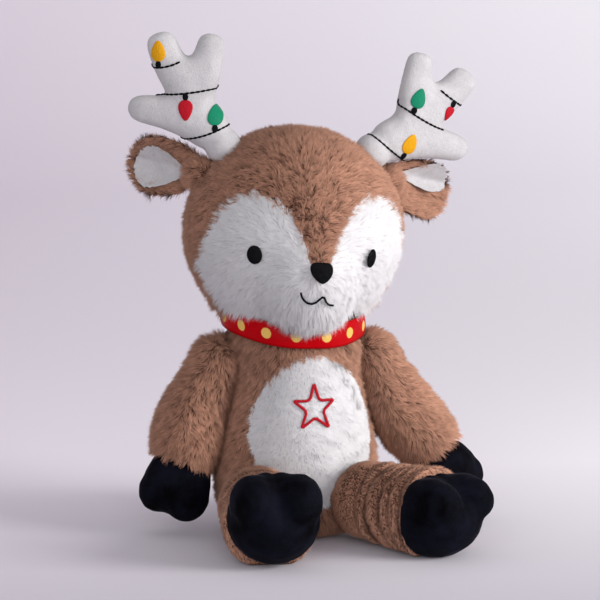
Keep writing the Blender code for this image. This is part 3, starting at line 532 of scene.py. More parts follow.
def row_of_stitches(name, route, width, stitch, body, finish, overlap=0.12, closed=False):
    """A row of thread: stitches laid one after another along a route, overlapping or with a gap between."""
    route = [Vector(point) for point in route]
    if closed:
        route.append(route[0].copy())
    lengths = np.cumsum([0] + [(b - a).length for a, b in zip(route, route[1:])])
    count = max(int(lengths[-1] / stitch), 2)
    bm = bmesh.new()
    for index in range(count):
        ends = []
        for share in (-overlap, 1 + overlap):
            at = np.clip(lengths[-1] * (index + share) / count, 0, lengths[-1])
            ends.append(Vector([np.interp(at, lengths, line) for line in zip(*route)]))
        across = ends[1] - ends[0]
        if across.length < 0.1 * MM:
            continue
        made = bmesh.ops.create_uvsphere(bm, u_segments=8, v_segments=6, radius=0.5)["verts"]
        bmesh.ops.scale(bm, verts=made, vec=(width, width, across.length))
        turn = across.to_track_quat("Z", "Y").to_matrix().to_4x4()
        bmesh.ops.transform(bm, verts=made, matrix=Matrix.Translation((ends[0] + ends[1]) / 2) @ turn)
    return made_piece(name, bm, body, finish)


def thread(name, colour, gloss=0.45, shine=0.05):
    """Embroidery thread: a soft shine along fine twisted strands."""
    made = Finish(name, roughness=gloss, specular_ior_level=shine)
    strands = made.noise(2600, 1, 0.4)
    bright = [min(c * 1.25 + 0.01, 1) for c in colour]
    made.feed("Base Color", made.mixed(strands, [c * 0.62 for c in colour], bright))
    made.relief(strands, 0.12 * MM, 0.7)
    return made


red_thread = thread("red_thread", (0.40, 0.004, 0.014), 0.6, 0.05)
star = []
for step in range(10):
    radius = STAR_RADIUS if step % 2 == 0 else STAR_RADIUS * math.cos(math.tau / 5) / math.cos(math.tau / 10)
    turn = math.tau * step / 10
    star.append((radius * math.sin(turn) + BELLY_SHIFT, STAR_HEIGHT + radius * math.cos(turn)))
star_route = []
for (x0, z0), (x1, z1) in zip(star, star[1:] + star[:1]):
    for share in (0, 0.34, 0.67):
        x, z = x0 + (x1 - x0) * share, z0 + (z1 - z0) * share
        star_route.append(torso_point(x / torso_half_sizes(STAR_HEIGHT)[0], z, -STAR_SINK))
star_piece = row_of_stitches(
    "star_embroidery", star_route, STAR_STITCH_WIDTH, STAR_STITCH, "torso", red_thread, 0.45,
    closed=True,
)
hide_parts("star_stitching")


def pressed_by(line, width, low):
    """Pile lies short where thread is stitched through it."""
    def share(points, out):
        nearest = np.full(len(points), 1.0)
        for point in line:
            nearest = np.minimum(nearest, np.linalg.norm((points - point) * (1, 0.35, 1), axis=1))
        return np.clip(nearest / width, low, 1)

    return share


belly = grow_pile(
    torso_backing, "torso", white_plush, BELLY_PILE, downwards, {"belly": everywhere},
    keep=lambda p, n: on_belly(p), length=pressed_by(np.array(star_route), 4.0 * MM, 0.35), seed=21,
)
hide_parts("belly_patch")

# The head is a big oval of the same brown plush, cut as two cheeks and a middle strip from nose to nape.
# The muzzle swells out low in front, and a white face panel is sewn in below the brown brow.
# The white pile starts at the nose and lies outwards over the brown, which gives the panel its ragged edge.
HEAD_WIDTH = 155 * MM
HEAD_DEPTH = 140 * MM
HEAD_HEIGHT = 148 * MM
HEAD_CENTRE = Vector((-1 * MM, 0, 210 * MM))
HEAD_ROLL = math.radians(3.5)
MUZZLE = Vector((0, -47 * MM, -30 * MM))
MUZZLE_RADIUS = 34 * MM
MUZZLE_BLEND = 8 * MM
NECK_RECESS_RADIUS = 53.5 * MM
NECK_RECESS_TOP = 157.3 * MM
FACE_HALF_WIDTH = 72 * MM
FACE_TOP = 28 * MM
FACE_OUTLINE_SHARES = (
    (0.00, -0.72), (0.09, -0.66), (0.13, -0.45), (0.155, -0.15), (0.21, 0.18), (0.29, 0.54), (0.40, 0.86),
    (0.55, 1.02), (0.74, 0.92), (0.90, 0.50), (0.98, -0.12), (1.02, -0.85), (0.98, -1.60), (0.83, -2.30),
    (0.55, -3.20), (0.00, -3.20),
)
head_frame = Matrix.Translation(HEAD_CENTRE) @ Matrix.Rotation(HEAD_ROLL, 4, "Y")
head_turn = np.array(head_frame.to_3x3())
head_middle = np.array(head_frame.translation)
HEAD_PILE = dict(BROWN_PILE, length=6.4 * MM, stray=48, clump=7, clumping=0.5, lean=38, waves=0.45)


def head_radius(direction):
    """How far the head's surface lies from its centre that way: an oval that flows into a round muzzle."""
    half_sizes = (HEAD_WIDTH / 2, HEAD_DEPTH / 2, HEAD_HEIGHT / 2)
    oval_radius = 1 / math.sqrt(sum((d / h) ** 2 for d, h in zip(direction, half_sizes)))
    towards = direction.dot(MUZZLE)
    room = towards**2 - MUZZLE.length_squared + MUZZLE_RADIUS**2
    if room <= 0:
        return oval_radius
    muzzle_radius = towards + math.sqrt(room)
    mix = min(max((1 + (muzzle_radius - oval_radius) / MUZZLE_BLEND) / 2, 0), 1)
    return oval_radius * (1 - mix) + muzzle_radius * mix + MUZZLE_BLEND * mix * (1 - mix)


def head_form(inset):
    """The head's form drawn in by inset, with a recess below for the neck."""
    bm = bmesh.new()
    bmesh.ops.create_icosphere(bm, subdivisions=6, radius=1)
    for vert in bm.verts:
        direction = vert.co.normalized()
        vert.co = direction * (head_radius(direction) - inset)
    smoothed(bm, 3)
    bmesh.ops.transform(bm, verts=bm.verts[:], matrix=head_frame)
    for vert in bm.verts:
        if math.hypot(vert.co.x, vert.co.y) < NECK_RECESS_RADIUS:
            vert.co.z = max(vert.co.z, NECK_RECESS_TOP)
    return bm


def in_head(points):
    return (points - head_middle) @ head_turn


def in_outline(x, z, outline):
    inside = np.zeros(len(x), bool)
    for (x0, z0), (x1, z1) in zip(outline, outline[1:] + outline[:1]):
        if z0 == z1:
            continue
        crosses = (z > min(z0, z1)) & (z <= max(z0, z1))
        inside ^= crosses & (x < x0 + (z - z0) / (z1 - z0) * (x1 - x0))
    return inside


half_face = [(x * FACE_HALF_WIDTH, z * FACE_TOP) for x, z in FACE_OUTLINE_SHARES]
face_outline = half_face + [(-x, z) for x, z in reversed(half_face[1:-1])]


def on_face(points):
    """The white panel. On the right it is drawn in a little beside the nose and at its outer edge."""
    local = in_head(points)
    nearer = 3.5 * MM * ((local[:, 0] < 0) & (local[:, 0] > -26 * MM)) + 5 * MM * (local[:, 0] < -40 * MM)
    return in_outline(local[:, 0] - nearer, local[:, 2], face_outline) & (local[:, 1] < -12 * MM)


def clear_of_neck(points):
    return (np.hypot(points[:, 0], points[:, 1]) > NECK_RECESS_RADIUS - 6 * MM) | (points[:, 2] > 175 * MM)


def on_head(azimuth, elevation, right, up, lift=0.0):
    """A point over the head's face, this far right and up of a direction."""
    level = math.cos(elevation)
    middle = Vector((level * math.sin(azimuth), -level * math.cos(azimuth), math.sin(elevation)))
    across = Vector((math.cos(azimuth), math.sin(azimuth), 0))
    upward = across.cross(-middle)
    direction = (middle * head_radius(middle) + across * right + upward * up).normalized()
    return head_frame @ (direction * (head_radius(direction) + lift))


EYE_AZIMUTH = math.radians(35)
EYE_ELEVATION = math.radians(-9)
EYE_HALF_WIDTHS = {"right": 5.4 * MM, "left": 3.9 * MM}
EYE_HALF_HEIGHT = 6.6 * MM
NOSE_ELEVATION = math.radians(-13.5)
NOSE_HALF_WIDTH = 9.6 * MM
NOSE_HALF_HEIGHT = 6.1 * MM
NOSE_SHIFT = 0.9 * MM
MOUTH_ELEVATION = math.radians(-23)
MOUTH_WIDTH = 1.6 * MM
NOSE_SPOTS = ((-5, 3), (0, 3), (5, 3), (0, -2), (-3, 0), (3, 0))
MOUTH_SPOTS = (
    (-12.8, 0.2), (-12.0, -2.6), (-9.5, -5.4), (-6.0, -7.0), (-2.6, -6.2), (0.4, -3.2), (3.0, -0.8),
    (4.4, -3.6), (6.2, -6.4), (8.6, -8.0), (11.6, -8.2),
)
eye_places = np.array([on_head(sign * EYE_AZIMUTH, EYE_ELEVATION, 0, 0) for sign in SIDES.values()])
nose_places = np.array([on_head(0, NOSE_ELEVATION, x * MM, z * MM) for x, z in NOSE_SPOTS])
mouth_route = [on_head(0, MOUTH_ELEVATION, x * MM, z * MM, 0.3 * MM) for x, z in MOUTH_SPOTS]
mouth_places = np.array(mouth_route)


def from_nose(points, out):
    """The face's pile lies outwards from the nose, and down on the chin."""
    nose = np.array(on_head(0, NOSE_ELEVATION, 0, 0))
    away = turned_to(points - nose)
    local = in_head(points)
    away[:, 2] -= 0.55 * np.clip(-local[:, 2] / (30 * MM), 0, 1.5)
    return away


def head_flow(points, out):
    """The brown pile lies up and back over the brow, and down over the cheeks and the nape."""
    local = in_head(points)
    brow = np.clip(1 - np.abs(local[:, 0]) / (45 * MM), 0, 1) * (local[:, 1] < 0)
    flow = np.zeros_like(points)
    flow[:, 0] = np.tanh(local[:, 0] / (16 * MM)) * 0.4
    flow[:, 1] = 0.5
    flow[:, 2] = -0.9 + 1.3 * brow
    return flow


def over_ribbon(points):
    """The pile is longest low on the head, where it hangs over the ribbon."""
    return 1 + 0.7 * np.clip((174 * MM - points[:, 2]) / (16 * MM), 0, 1)


def face_length(points, out):
    eyes = pressed_by(eye_places, 9 * MM, 0.30)(points, out)
    nose = pressed_by(nose_places, 7 * MM, 0.2)(points, out)
    mouth = pressed_by(mouth_places, 3.5 * MM, 0.35)(points, out)
    return np.minimum(np.minimum(eyes, nose), mouth) * over_ribbon(points)


head_backing = made_piece("head_backing", head_form(PILE_DEPTH), "head", backing_cloth)
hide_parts("head_skin", "head_stuffing")
mark_white(head_backing, on_face)
grow_pile(
    head_backing, "head", brown_plush, HEAD_PILE, head_flow,
    {
        "cheek_right": lambda p: p[:, 0] < -28 * MM, "cheek_left": lambda p: p[:, 0] > 28 * MM,
        "brow_to_nape": lambda p: np.abs(p[:, 0]) <= 28 * MM,
    },
    keep=lambda p, n: ~on_face(p) & clear_of_neck(p),
    length=lambda p, n: pressed_by(nose_places, 9 * MM, 0.3)(p, n) * over_ribbon(p), seed=31,
)
FACE_PILE = dict(WHITE_PILE, length=7.2 * MM, per_mm2=2.6, clumping=0.4, lean=56)
face = grow_pile(
    head_backing, "head", white_plush, FACE_PILE, from_nose,
    {"face_right": lambda p: p[:, 0] < 0, "face_left": lambda p: p[:, 0] >= 0},
    keep=lambda p, n: on_face(p) & clear_of_neck(p), length=face_length, seed=41,
)
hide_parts("face_panel")

# The eyes, the nose and the mouth are embroidered through the face in black thread.
# Eyes and nose are filled with close rows of satin stitch, padded underneath, and the mouth is one fine row.
black_thread = thread("black_thread", (0.001, 0.001, 0.002), 0.7, 0.01)

def satin_pad(name, surface, outline, thickness, body, finish, low=0.0, rows=9):
    """A crowned pad of satin stitch. The outline gives half its width and its height, from -1 to 1."""
    bm = bmesh.new()
    bmesh.ops.create_uvsphere(bm, u_segments=28, v_segments=14, radius=1)
    for vert in bm.verts:
        x, y, z = vert.co
        ring = math.hypot(x, y)
        width, height = outline(y)
        ridge = 0.10 * math.sin(rows * math.tau * x / 2) * (1 - ring**4)
        vert.co = surface(x * width, height, low + thickness * ((z + 1) / 2 + ridge * (z > 0)))
    bmesh.ops.recalc_face_normals(bm, faces=bm.faces[:])
    if bm.calc_volume(signed=True) < 0:
        bmesh.ops.reverse_faces(bm, faces=bm.faces[:])
    return made_piece(name, bm, body, finish)


def nose_outline(y):
    """A rounded triangle, wide above."""
    width = NOSE_HALF_WIDTH * (0.36 + 0.64 * ((y + 1) / 2) ** 0.6)
    return width / max(1 - max(y, 0) ** 2, 0.04) ** 0.22, NOSE_HALF_HEIGHT * y


for side, sign in SIDES.items():
    eye = satin_pad(
        f"eye_{side}_satin", lambda x, z, lift: on_head(sign * EYE_AZIMUTH, EYE_ELEVATION, x, z, lift),
        lambda y: (EYE_HALF_WIDTHS[side], EYE_HALF_HEIGHT * y), 2.2 * MM, "head", black_thread,
        low=-1.0 * MM,
    )
    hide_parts(f"eye_{side}")
nose = satin_pad(
    "nose_satin", lambda x, z, lift: on_head(0, NOSE_ELEVATION, x + NOSE_SHIFT, z, lift),
    nose_outline, 6.0 * MM, "head", black_thread, low=-0.5 * MM, rows=14,
)
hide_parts("nose")
mouth = row_of_stitches("mouth_row", mouth_route, MOUTH_WIDTH, 1.6 * MM, "head", black_thread, 0.3)
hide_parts("mouth_stitching")

# The antlers are white velour, two layers sewn round their edge, turned and stuffed until they stand.
# Each string of lights is a row of black running stitch, with bulbs of satin stitch in three colours.
ANTLER_HEIGHT = 82 * MM
ANTLER_SWEEPS = {"right": math.radians(20), "left": math.radians(6)}
ANTLER_LEANS = {"right": math.radians(3.5), "left": math.radians(20)}
ANTLER_SEAT = Vector((53 * MM, 1 * MM, 56.5 * MM))
STRING_WIDTH = 1.6 * MM
STRING_STITCH = 3.6 * MM
CAP_HALF_WIDTH = 2.0 * MM
CAP_HALF_HEIGHT = 2.8 * MM
CAP_RISE = 2.2 * MM
BULB_HALF_WIDTH = 5.3 * MM
BULB_HALF_HEIGHT = 7.2 * MM
BULB_SIZES = {("left", "top"): 0.74}
# A string has its ends, its sag, its bulb's place along it, the way that the bulb points, and its colour.
STRINGS = {
    "right": {
        "top": ((0.66, 0.67), (0.345, 0.705), 0.031, 0.41, 1, "yellow_thread"),
        "middle": ((0.57, 0.43), (-0.01, 0.50), 0.020, 0.47, -1, "red_thread"),
        "low": ((0.37, 0.06), (-0.07, 0.19), 0.035, 0.72, 1, "green_thread"),
    },
    "left": {
        "top": ((0.33, 0.70), (0.64, 0.655), 0.015, 0.50, -1, "red_thread"),
        "middle": ((-0.03, 0.48), (0.50, 0.40), 0.030, 0.37, 1, "green_thread"),
        "low": ((-0.12, 0.14), (0.32, 0.03), 0.020, 0.82, 1, "yellow_thread"),
    },
}
velour = Finish("white_velour", roughness=0.9, sheen_weight=0.15, sheen_roughness=0.4, specular_ior_level=0.2)
nap = velour.noise(1500, 2, 0.6)
brushed = velour.noise(60, 3, 0.55)
mottle = ((brushed * 0.45 + nap * 0.55) * 2.4 - 0.7).within()
velour.feed("Base Color", velour.mixed(mottle, (0.360, 0.348, 0.358), (0.560, 0.543, 0.548)))
puckers = velour.noise(130, 2, 0.5)
velour.relief(nap * 0.7 + brushed * 1.2 + puckers * 1.2, 0.9 * MM, 0.8)
threads = {
    "red_thread": red_thread,
    "green_thread": thread("green_thread", (0.004, 0.190, 0.098)),
    "yellow_thread": thread("yellow_thread", (0.640, 0.300, 0.004)),
}


def stuffed_from(name, node, body, finish, voxel, smoothing, inset=0.0):
    """A stuffed form grown from its CAD solid: remeshed evenly and smoothed until the flats are gone."""
    bm = bmesh.new()
    bm.from_mesh(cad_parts[node].data)
    bmesh.ops.remove_doubles(bm, verts=bm.verts[:], dist=0.01 * MM)
    mesh = bpy.data.meshes.new(name)
    bm.to_mesh(mesh)
    bm.free()
    rough = placed(name + "_rough", mesh)
    remesh = rough.modifiers.new("Remesh", "REMESH")
    remesh.mode = "VOXEL"
    remesh.voxel_size = voxel
    graph = bpy.context.evaluated_depsgraph_get()
    bm = bmesh.new()
    bm.from_mesh(bpy.data.meshes.new_from_object(rough.evaluated_get(graph)))
    bpy.data.objects.remove(rough)
    smoothed(bm, smoothing)
    if inset:
        bm.normal_update()
        for vert in bm.verts:
            vert.co -= vert.normal * inset
    piece = made_piece(name, bm, body, finish)
    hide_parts(node)
    return piece


def surface_of(piece):
    bm = bmesh.new()
    bm.from_mesh(piece.data)
    tree = BVHTree.FromBMesh(bm)
    bm.free()
    return tree

def seated(sign, seat):
    """A place on the right or the left, whose X points away from the middle."""
    return Matrix.Translation((sign * seat.x, seat.y, seat.z)) @ Matrix.Diagonal((sign, 1, 1, 1))


for side, sign in SIDES.items():
    turn = Matrix.Rotation(ANTLER_SWEEPS[side], 4, "Z") @ Matrix.Rotation(ANTLER_LEANS[side], 4, "Y")
    antler_frame = head_frame @ seated(sign, ANTLER_SEAT) @ turn
    body = f"antler_{side}"
    antler = stuffed_from(
        f"antler_{side}_velour", f"antler_{side}", body, velour,
        voxel=1.5 * MM, smoothing=8,
    )
    tree = surface_of(antler)
    into = (antler_frame.to_3x3() @ Vector((0, 1, 0))).normalized()

    def on_antler(x, z, lift):
        """A point over the antler's front."""
        start = antler_frame @ Vector((x, -ANTLER_HEIGHT, z))
        at, normal, _, _ = tree.ray_cast(start, into)
        if at is None:
            at, normal, _, _ = tree.find_nearest(antler_frame @ Vector((x, 0, z)))
        return at + normal * lift

    for name, (first, last, sag, bulb_share, up, colour) in STRINGS[side].items():
        start, end = Vector(first) * ANTLER_HEIGHT, Vector(last) * ANTLER_HEIGHT

        def on_string(share):
            at = start.lerp(end, share)
            return at.x, at.y - sag * ANTLER_HEIGHT * 4 * share * (1 - share)

        route = [on_antler(*on_string(step / 40), 0.2 * MM) for step in range(41)]
        string = row_of_stitches(
            f"string_{name}_{side}_row", route, STRING_WIDTH, STRING_STITCH, body, black_thread,
            overlap=0.04,
        )
        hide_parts(f"string_{name}_{side}")
        x, z = on_string(bulb_share)
        cap_z = z + up * CAP_RISE
        satin_pad(
            f"bulb_cap_{name}_{side}", lambda a, b, lift: on_antler(x + a, cap_z + b, lift),
            lambda y: (CAP_HALF_WIDTH, CAP_HALF_HEIGHT * y), 1.4 * MM, body, black_thread,
            low=-0.4 * MM, rows=4,
        )
        size = BULB_SIZES.get((side, name), 1)
        half_width, half_height = BULB_HALF_WIDTH * size, BULB_HALF_HEIGHT * size
        bulb_z = cap_z + up * (2 * MM + half_height)
        bulb = satin_pad(
            f"bulb_{name}_{side}_satin", lambda a, b, lift: on_antler(x + a, bulb_z + b, lift),
            lambda y: (half_width * (1 - 0.32 * (up * y + 0.3)), half_height * y), 1.7 * MM, body,
            threads[colour], low=-0.5 * MM, rows=7,
        )
        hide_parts(f"bulb_{name}_{side}")

# The ears are leaves of brown plush, cupped to the front, with a lining of white velour sewn in.
# The lining has a soft fold down its middle, and the brown pile fringes it all round.
EAR_SWEEPS = {"right": math.radians(30), "left": math.radians(13)}
EAR_LIFTS = {"right": math.radians(7), "left": math.radians(-11)}
EAR_LENGTH = 53 * MM
EAR_WIDTH = 43 * MM
EAR_SEAT = Vector((67.5 * MM, 8 * MM, 36.5 * MM))
EAR_CUP = 11 * MM
EAR_LENGTHENING = 1.05
EAR_WIDENING = 1.07
EAR_DROOP = 1.0 * MM
LINING_SHORTER = 7 * MM
LINING_TAPER = 0.8
LINING_RAISED = 1.3 * MM
LINING_CREASE = LINING_RAISED * 1.9
LINING_CREASE_WIDTH = 3.2 * MM
LINING_PLACES = {"right": (-1.5 * MM, 1.0), "left": (5.0 * MM, 0.4)}
EAR_PILE = dict(BROWN_PILE, length=6.0 * MM, lean=46, clumping=0.35)


def cupped(piece, ear_frame, lining_place=None):
    """Folds an ear's layer forward along its sides. A lining is narrowed inwards, raised and creased too."""
    back = ear_frame.inverted()
    for vert in piece.data.vertices:
        along, behind, across = back @ vert.co
        share = min(max(along / EAR_LENGTH, 0), 1)
        raised, crease = 0, 0
        if lining_place:
            higher, lower_share = lining_place
            across = across * lower_share if across < 0 else across
            along -= LINING_SHORTER * (1 - share) ** 0.7
            inner = 1 - min(max((share - 0.1) / 0.6, 0), 1)
            across = across * (1 - LINING_TAPER * inner**1.2) + higher
            raised = LINING_RAISED
            from_crease = (across - higher - 3 * MM * share) / LINING_CREASE_WIDTH
            crease = LINING_CREASE * min(max(share * 2 - 0.5, 0), 1) * math.exp(-(from_crease**2))
        behind -= EAR_CUP * (across / (EAR_WIDTH / 2)) ** 2 * min(share * 2, 1) + raised
        behind += crease
        lower = across * EAR_WIDENING - EAR_DROOP * share
        vert.co = ear_frame @ Vector((along * EAR_LENGTHENING, behind, lower))


for side, sign in SIDES.items():
    turn = Matrix.Rotation(EAR_SWEEPS[side], 4, "Z") @ Matrix.Rotation(-EAR_LIFTS[side], 4, "Y")
    ear_frame = head_frame @ seated(sign, EAR_SEAT) @ turn
    ear_back = np.array(ear_frame.to_3x3() @ Vector((0, 1, 0)))
    ear_out = np.array(ear_frame.to_3x3() @ Vector((1, 0, 0)))
    ear_root = np.array(ear_frame.translation)
    body = f"ear_{side}"
    backing = stuffed_from(
        f"ear_{side}_backing", f"ear_{side}", body, backing_cloth,
        voxel=1.6 * MM, smoothing=3, inset=0.8 * MM,
    )
    lining = stuffed_from(
        f"ear_{side}_lining", f"ear_lining_{side}", body, velour,
        voxel=0.9 * MM, smoothing=2,
    )
    cupped(backing, ear_frame)
    cupped(lining, ear_frame, LINING_PLACES[side])
    lining_tree = tree_of(of_verts(lining.data, "co"))

    def clear_of_lining(points, out):
        near = np.array([lining_tree.find(point)[2] for point in points])
        return (near > 2.3 * MM) | ((out @ ear_back) > 0.1)

    def ear_flow(points, out):
        return np.tile(ear_out, (len(points), 1)) + turned_to(points - ear_root) * 0.8

    grow_pile(
        backing, body, brown_plush, EAR_PILE, ear_flow, {f"ear_{side}_pile": everywhere},
        keep=clear_of_lining, seed=51 + sign,
    )

# The ribbon is red satin printed with gold dots, wrapped once round the neck and sewn at the nape.
# It stands a little proud of the pile, and its edges are turned and heat-sealed.
RIBBON_WIDTH = 16 * MM
RIBBON_TURN = math.tau + math.radians(24)
DOT_SPACING = 21 * MM
DOT_SIZE = 7.4 * MM
DOT_EDGE = 0.25 * MM
WEAVE_SPACING = 0.42 * MM
RIBBON_THICKNESS = 0.45 * MM
RIBBON_TOP = 156.6 * MM
RIBBON_SHIFT = 1.3 * MM


def ribbon_form(steps=160, rows=8):
    """One turn of ribbon that sags in front and is drawn in under the head. Its ends overlap at the nape."""
    half_width, half_depth = torso_half_sizes(RIBBON_HEIGHT)
    bm = bmesh.new()
    edge = []
    for step in range(steps + 1):
        share = step / steps
        angle = -math.radians(12) + RIBBON_TURN * share
        lift = 0.8 * MM + 1.4 * MM * max(0, min(1, (share - 0.86) / 0.07))
        place = ((half_width + lift) * math.sin(angle), (half_depth + lift) * math.cos(angle), 0)
        edge.append(bm.verts.new(place))
    strip = [bm.edges.new(pair) for pair in zip(edge, edge[1:])]
    for _ in range(rows):
        made = bmesh.ops.extrude_edge_only(bm, edges=strip)["geom"]
        verts = [item for item in made if isinstance(item, bmesh.types.BMVert)]
        bmesh.ops.translate(bm, verts=verts, vec=(0, 0, RIBBON_WIDTH / rows))
        edges = [item for item in made if isinstance(item, bmesh.types.BMEdge)]
        strip = [line for line in edges if abs(line.verts[0].co.z - line.verts[1].co.z) < 1e-6]
    uv = bm.loops.layers.uv.new("OFBake")
    for face in bm.faces:
        for loop in face.loops:
            x, y, z = loop.vert.co
            angle = (math.atan2(x / half_width, y / half_depth) + math.radians(13)) % math.tau
            loop[uv].uv = (angle / math.tau, z / RIBBON_WIDTH)
        us = [loop[uv].uv.x for loop in face.loops]
        if max(us) - min(us) > 0.5:
            for loop in face.loops:
                if loop[uv].uv.x < 0.5:
                    loop[uv].uv.x += 1
    for vert in bm.verts:
        angle = math.atan2(vert.co.x, -vert.co.y)
        height = vert.co.z / RIBBON_WIDTH - 0.5
        ripple = 0.5 * MM * math.sin(3 * angle + 1)
        bow = 1.1 * MM * (1 - (2 * height) ** 2) + ripple + 0.35 * MM * math.sin(7 * angle + height * 3)
        outward = Vector((vert.co.x, vert.co.y, 0)).normalized()
        vert.co += outward * bow
        tilt = 0.5 * MM * math.sin(2 * angle + 0.6)
        rise = ribbon_middle(vert.co.x, vert.co.y) + height * RIBBON_WIDTH + tilt
        pressed = max(rise - RIBBON_TOP, 0)
        vert.co -= outward * pressed + Vector((RIBBON_SHIFT, 0, 0))
        vert.co.z = rise - pressed
    bmesh.ops.recalc_face_normals(bm, faces=bm.faces[:])
    return bm


satin = Finish("red_satin", roughness=0.45, specular_ior_level=0.05)
round_neck, over_width = satin.split(satin.node("ShaderNodeUVMap", {"uv_map": "OFBake"}, {}, "UV"))
RIBBON_LENGTH = math.pi * (sum(torso_half_sizes(RIBBON_HEIGHT)) + 4 * MM)
dots = round(RIBBON_LENGTH / DOT_SPACING)
along_dot = ((round_neck * dots).of("FRACT") - 0.5) * (RIBBON_LENGTH / dots)
across_dot = (over_width - 0.5) * RIBBON_WIDTH
from_dot = (along_dot * along_dot + across_dot * across_dot) ** 0.5
ragged = satin.noise(900, 2) * 0.5 * MM
dot = ((DOT_SIZE / 2 + DOT_EDGE - ragged - from_dot) * (1 / DOT_EDGE)).within()
weave = (round_neck * (RIBBON_LENGTH / WEAVE_SPACING * math.tau / 2)).of("SINE")
# Painted shade and sheen: the red is mixed darker and lighter in broad patches, as satin looks in shade and
# in light.
shade = satin.noise(90, 3) * 0.35 + 0.65
satin_red = satin.mixed(shade, (0.150, 0.000, 0.001), (0.440, 0.000, 0.003))
gold = satin.mixed(satin.noise(1400, 2), (0.500, 0.270, 0.050), (0.800, 0.540, 0.150))
satin.feed("Base Color", satin.mixed(dot, satin_red, gold))
satin.feed("Roughness", 0.40 - dot * 0.06)
satin.relief(weave * 0.3 + dot * 1.4, 0.10 * MM, 0.6)
ribbon = made_piece("ribbon_satin", ribbon_form(), "torso", satin)
wall = ribbon.modifiers.new("Solidify", "SOLIDIFY")
wall.thickness = RIBBON_THICKNESS
wall.offset = 1
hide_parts("neck_ribbon")
ribbon_flat = (RIBBON_WIDTH, RIBBON_LENGTH * RIBBON_TURN / math.tau)

# The arms are brown plush tubes that widen to the wrist, sewn on under the neck and left to hang.
# The hands are black velvet in two lobes, like a cloven hoof, and the brown pile falls over their cuffs.
SHOULDER_SEAT = Vector((56 * MM, 0, 120 * MM))
SHOULDER_RADIUS = 18 * MM
ARM_LENGTH = 72 * MM
ARM_WIDTH = 51 * MM
ARM_SPREADS = {"right": math.radians(17), "left": math.radians(31)}
ARM_SETTLES = {"right": math.radians(3), "left": math.radians(1.5)}
ARM_SAGS = {"right": 0, "left": 8 * MM}
ARM_FULL_SIDES = {"right": 1, "left": -1}
ARM_FULLNESS = 5.5 * MM
ARM_TUFTS_HEIGHT = 122 * MM
HAND_SHIFTS = {"right": (-1 * MM, 0, 4.5 * MM), "left": (6.5 * MM, 0, -6.5 * MM)}
ARM_PROFILE_SHARES = ((0.16, 0.78), (0.32, 0.82), (0.50, 0.89), (0.70, 0.97), (0.88, 1.00), (1.00, 0.95))
velvet = Finish(
    "black_velvet", roughness=0.80, sheen_weight=0.06, sheen_roughness=0.2,
    sheen_tint=(0.42, 0.46, 0.68, 1), specular_ior_level=0.04,
)
stroke = velvet.noise(45, 4, 0.6)
fuzz = velvet.noise(1300, 2, 0.6)
# Painted sheen: the black is painted lighter and bluer in broad patches and fine fuzz, where velvet catches
# the light.
velvet_painted_sheen = (stroke * 2.6 + fuzz * 0.8 - 1.25).within()
velvet.feed("Base Color", velvet.mixed(velvet_painted_sheen, (0.0002, 0.0002, 0.0006), (0.0050, 0.0054, 0.0115)))
velvet.relief(fuzz * 0.5 + stroke * 1.2, 0.4 * MM, 0.7)


def arm_fullness(x, z):
    """How far the stuffing swells an arm on its fuller side, most at its middle."""
    return ARM_FULLNESS * min(max(x / (12 * MM), 0), 1) * math.sin(math.pi * min(max(z / ARM_LENGTH, 0), 1))


def limb_profile(root_radius, length, half_width, shares, inset):
    """A limb's outline from its round root to its cuff."""
    quarter = np.linspace(0, math.pi / 2, 10)
    profile = [(root_radius * math.sin(a), -root_radius * math.cos(a)) for a in quarter]
    profile = [(max(r - inset * 0.5, 0), h) for r, h in profile]
    start = shares[0][0]
    for step in range(61):
        along = start + (1 - start) * step / 60
        profile.append((blended(shares, along) * half_width - inset, along * length))
    end = profile[-1]
    profile += [(end[0] - 2 * MM, length - 0.2 * MM), (end[0] * 0.6, length), (0, length)]
    return profile


def limb(name, profile, matrix, body, fold):
    """A limb's backing spun from its outline, drawn in by its folds, and put in its place."""
    bm = spun(profile, 64)
    for vert in bm.verts:
        drawn_in = 1 - fold(*vert.co) / max(math.hypot(vert.co.x, vert.co.y), 6 * MM)
        vert.co.x *= drawn_in
        vert.co.y *= drawn_in
    bmesh.ops.transform(bm, verts=bm.verts[:], matrix=matrix)
    bmesh.ops.recalc_face_normals(bm, faces=bm.faces[:])
    for vert in bm.verts:
        vert.co.z = max(vert.co.z, 0.6 * MM)
    piece = made_piece(name, bm, body, backing_cloth)
    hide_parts(body)
    return piece


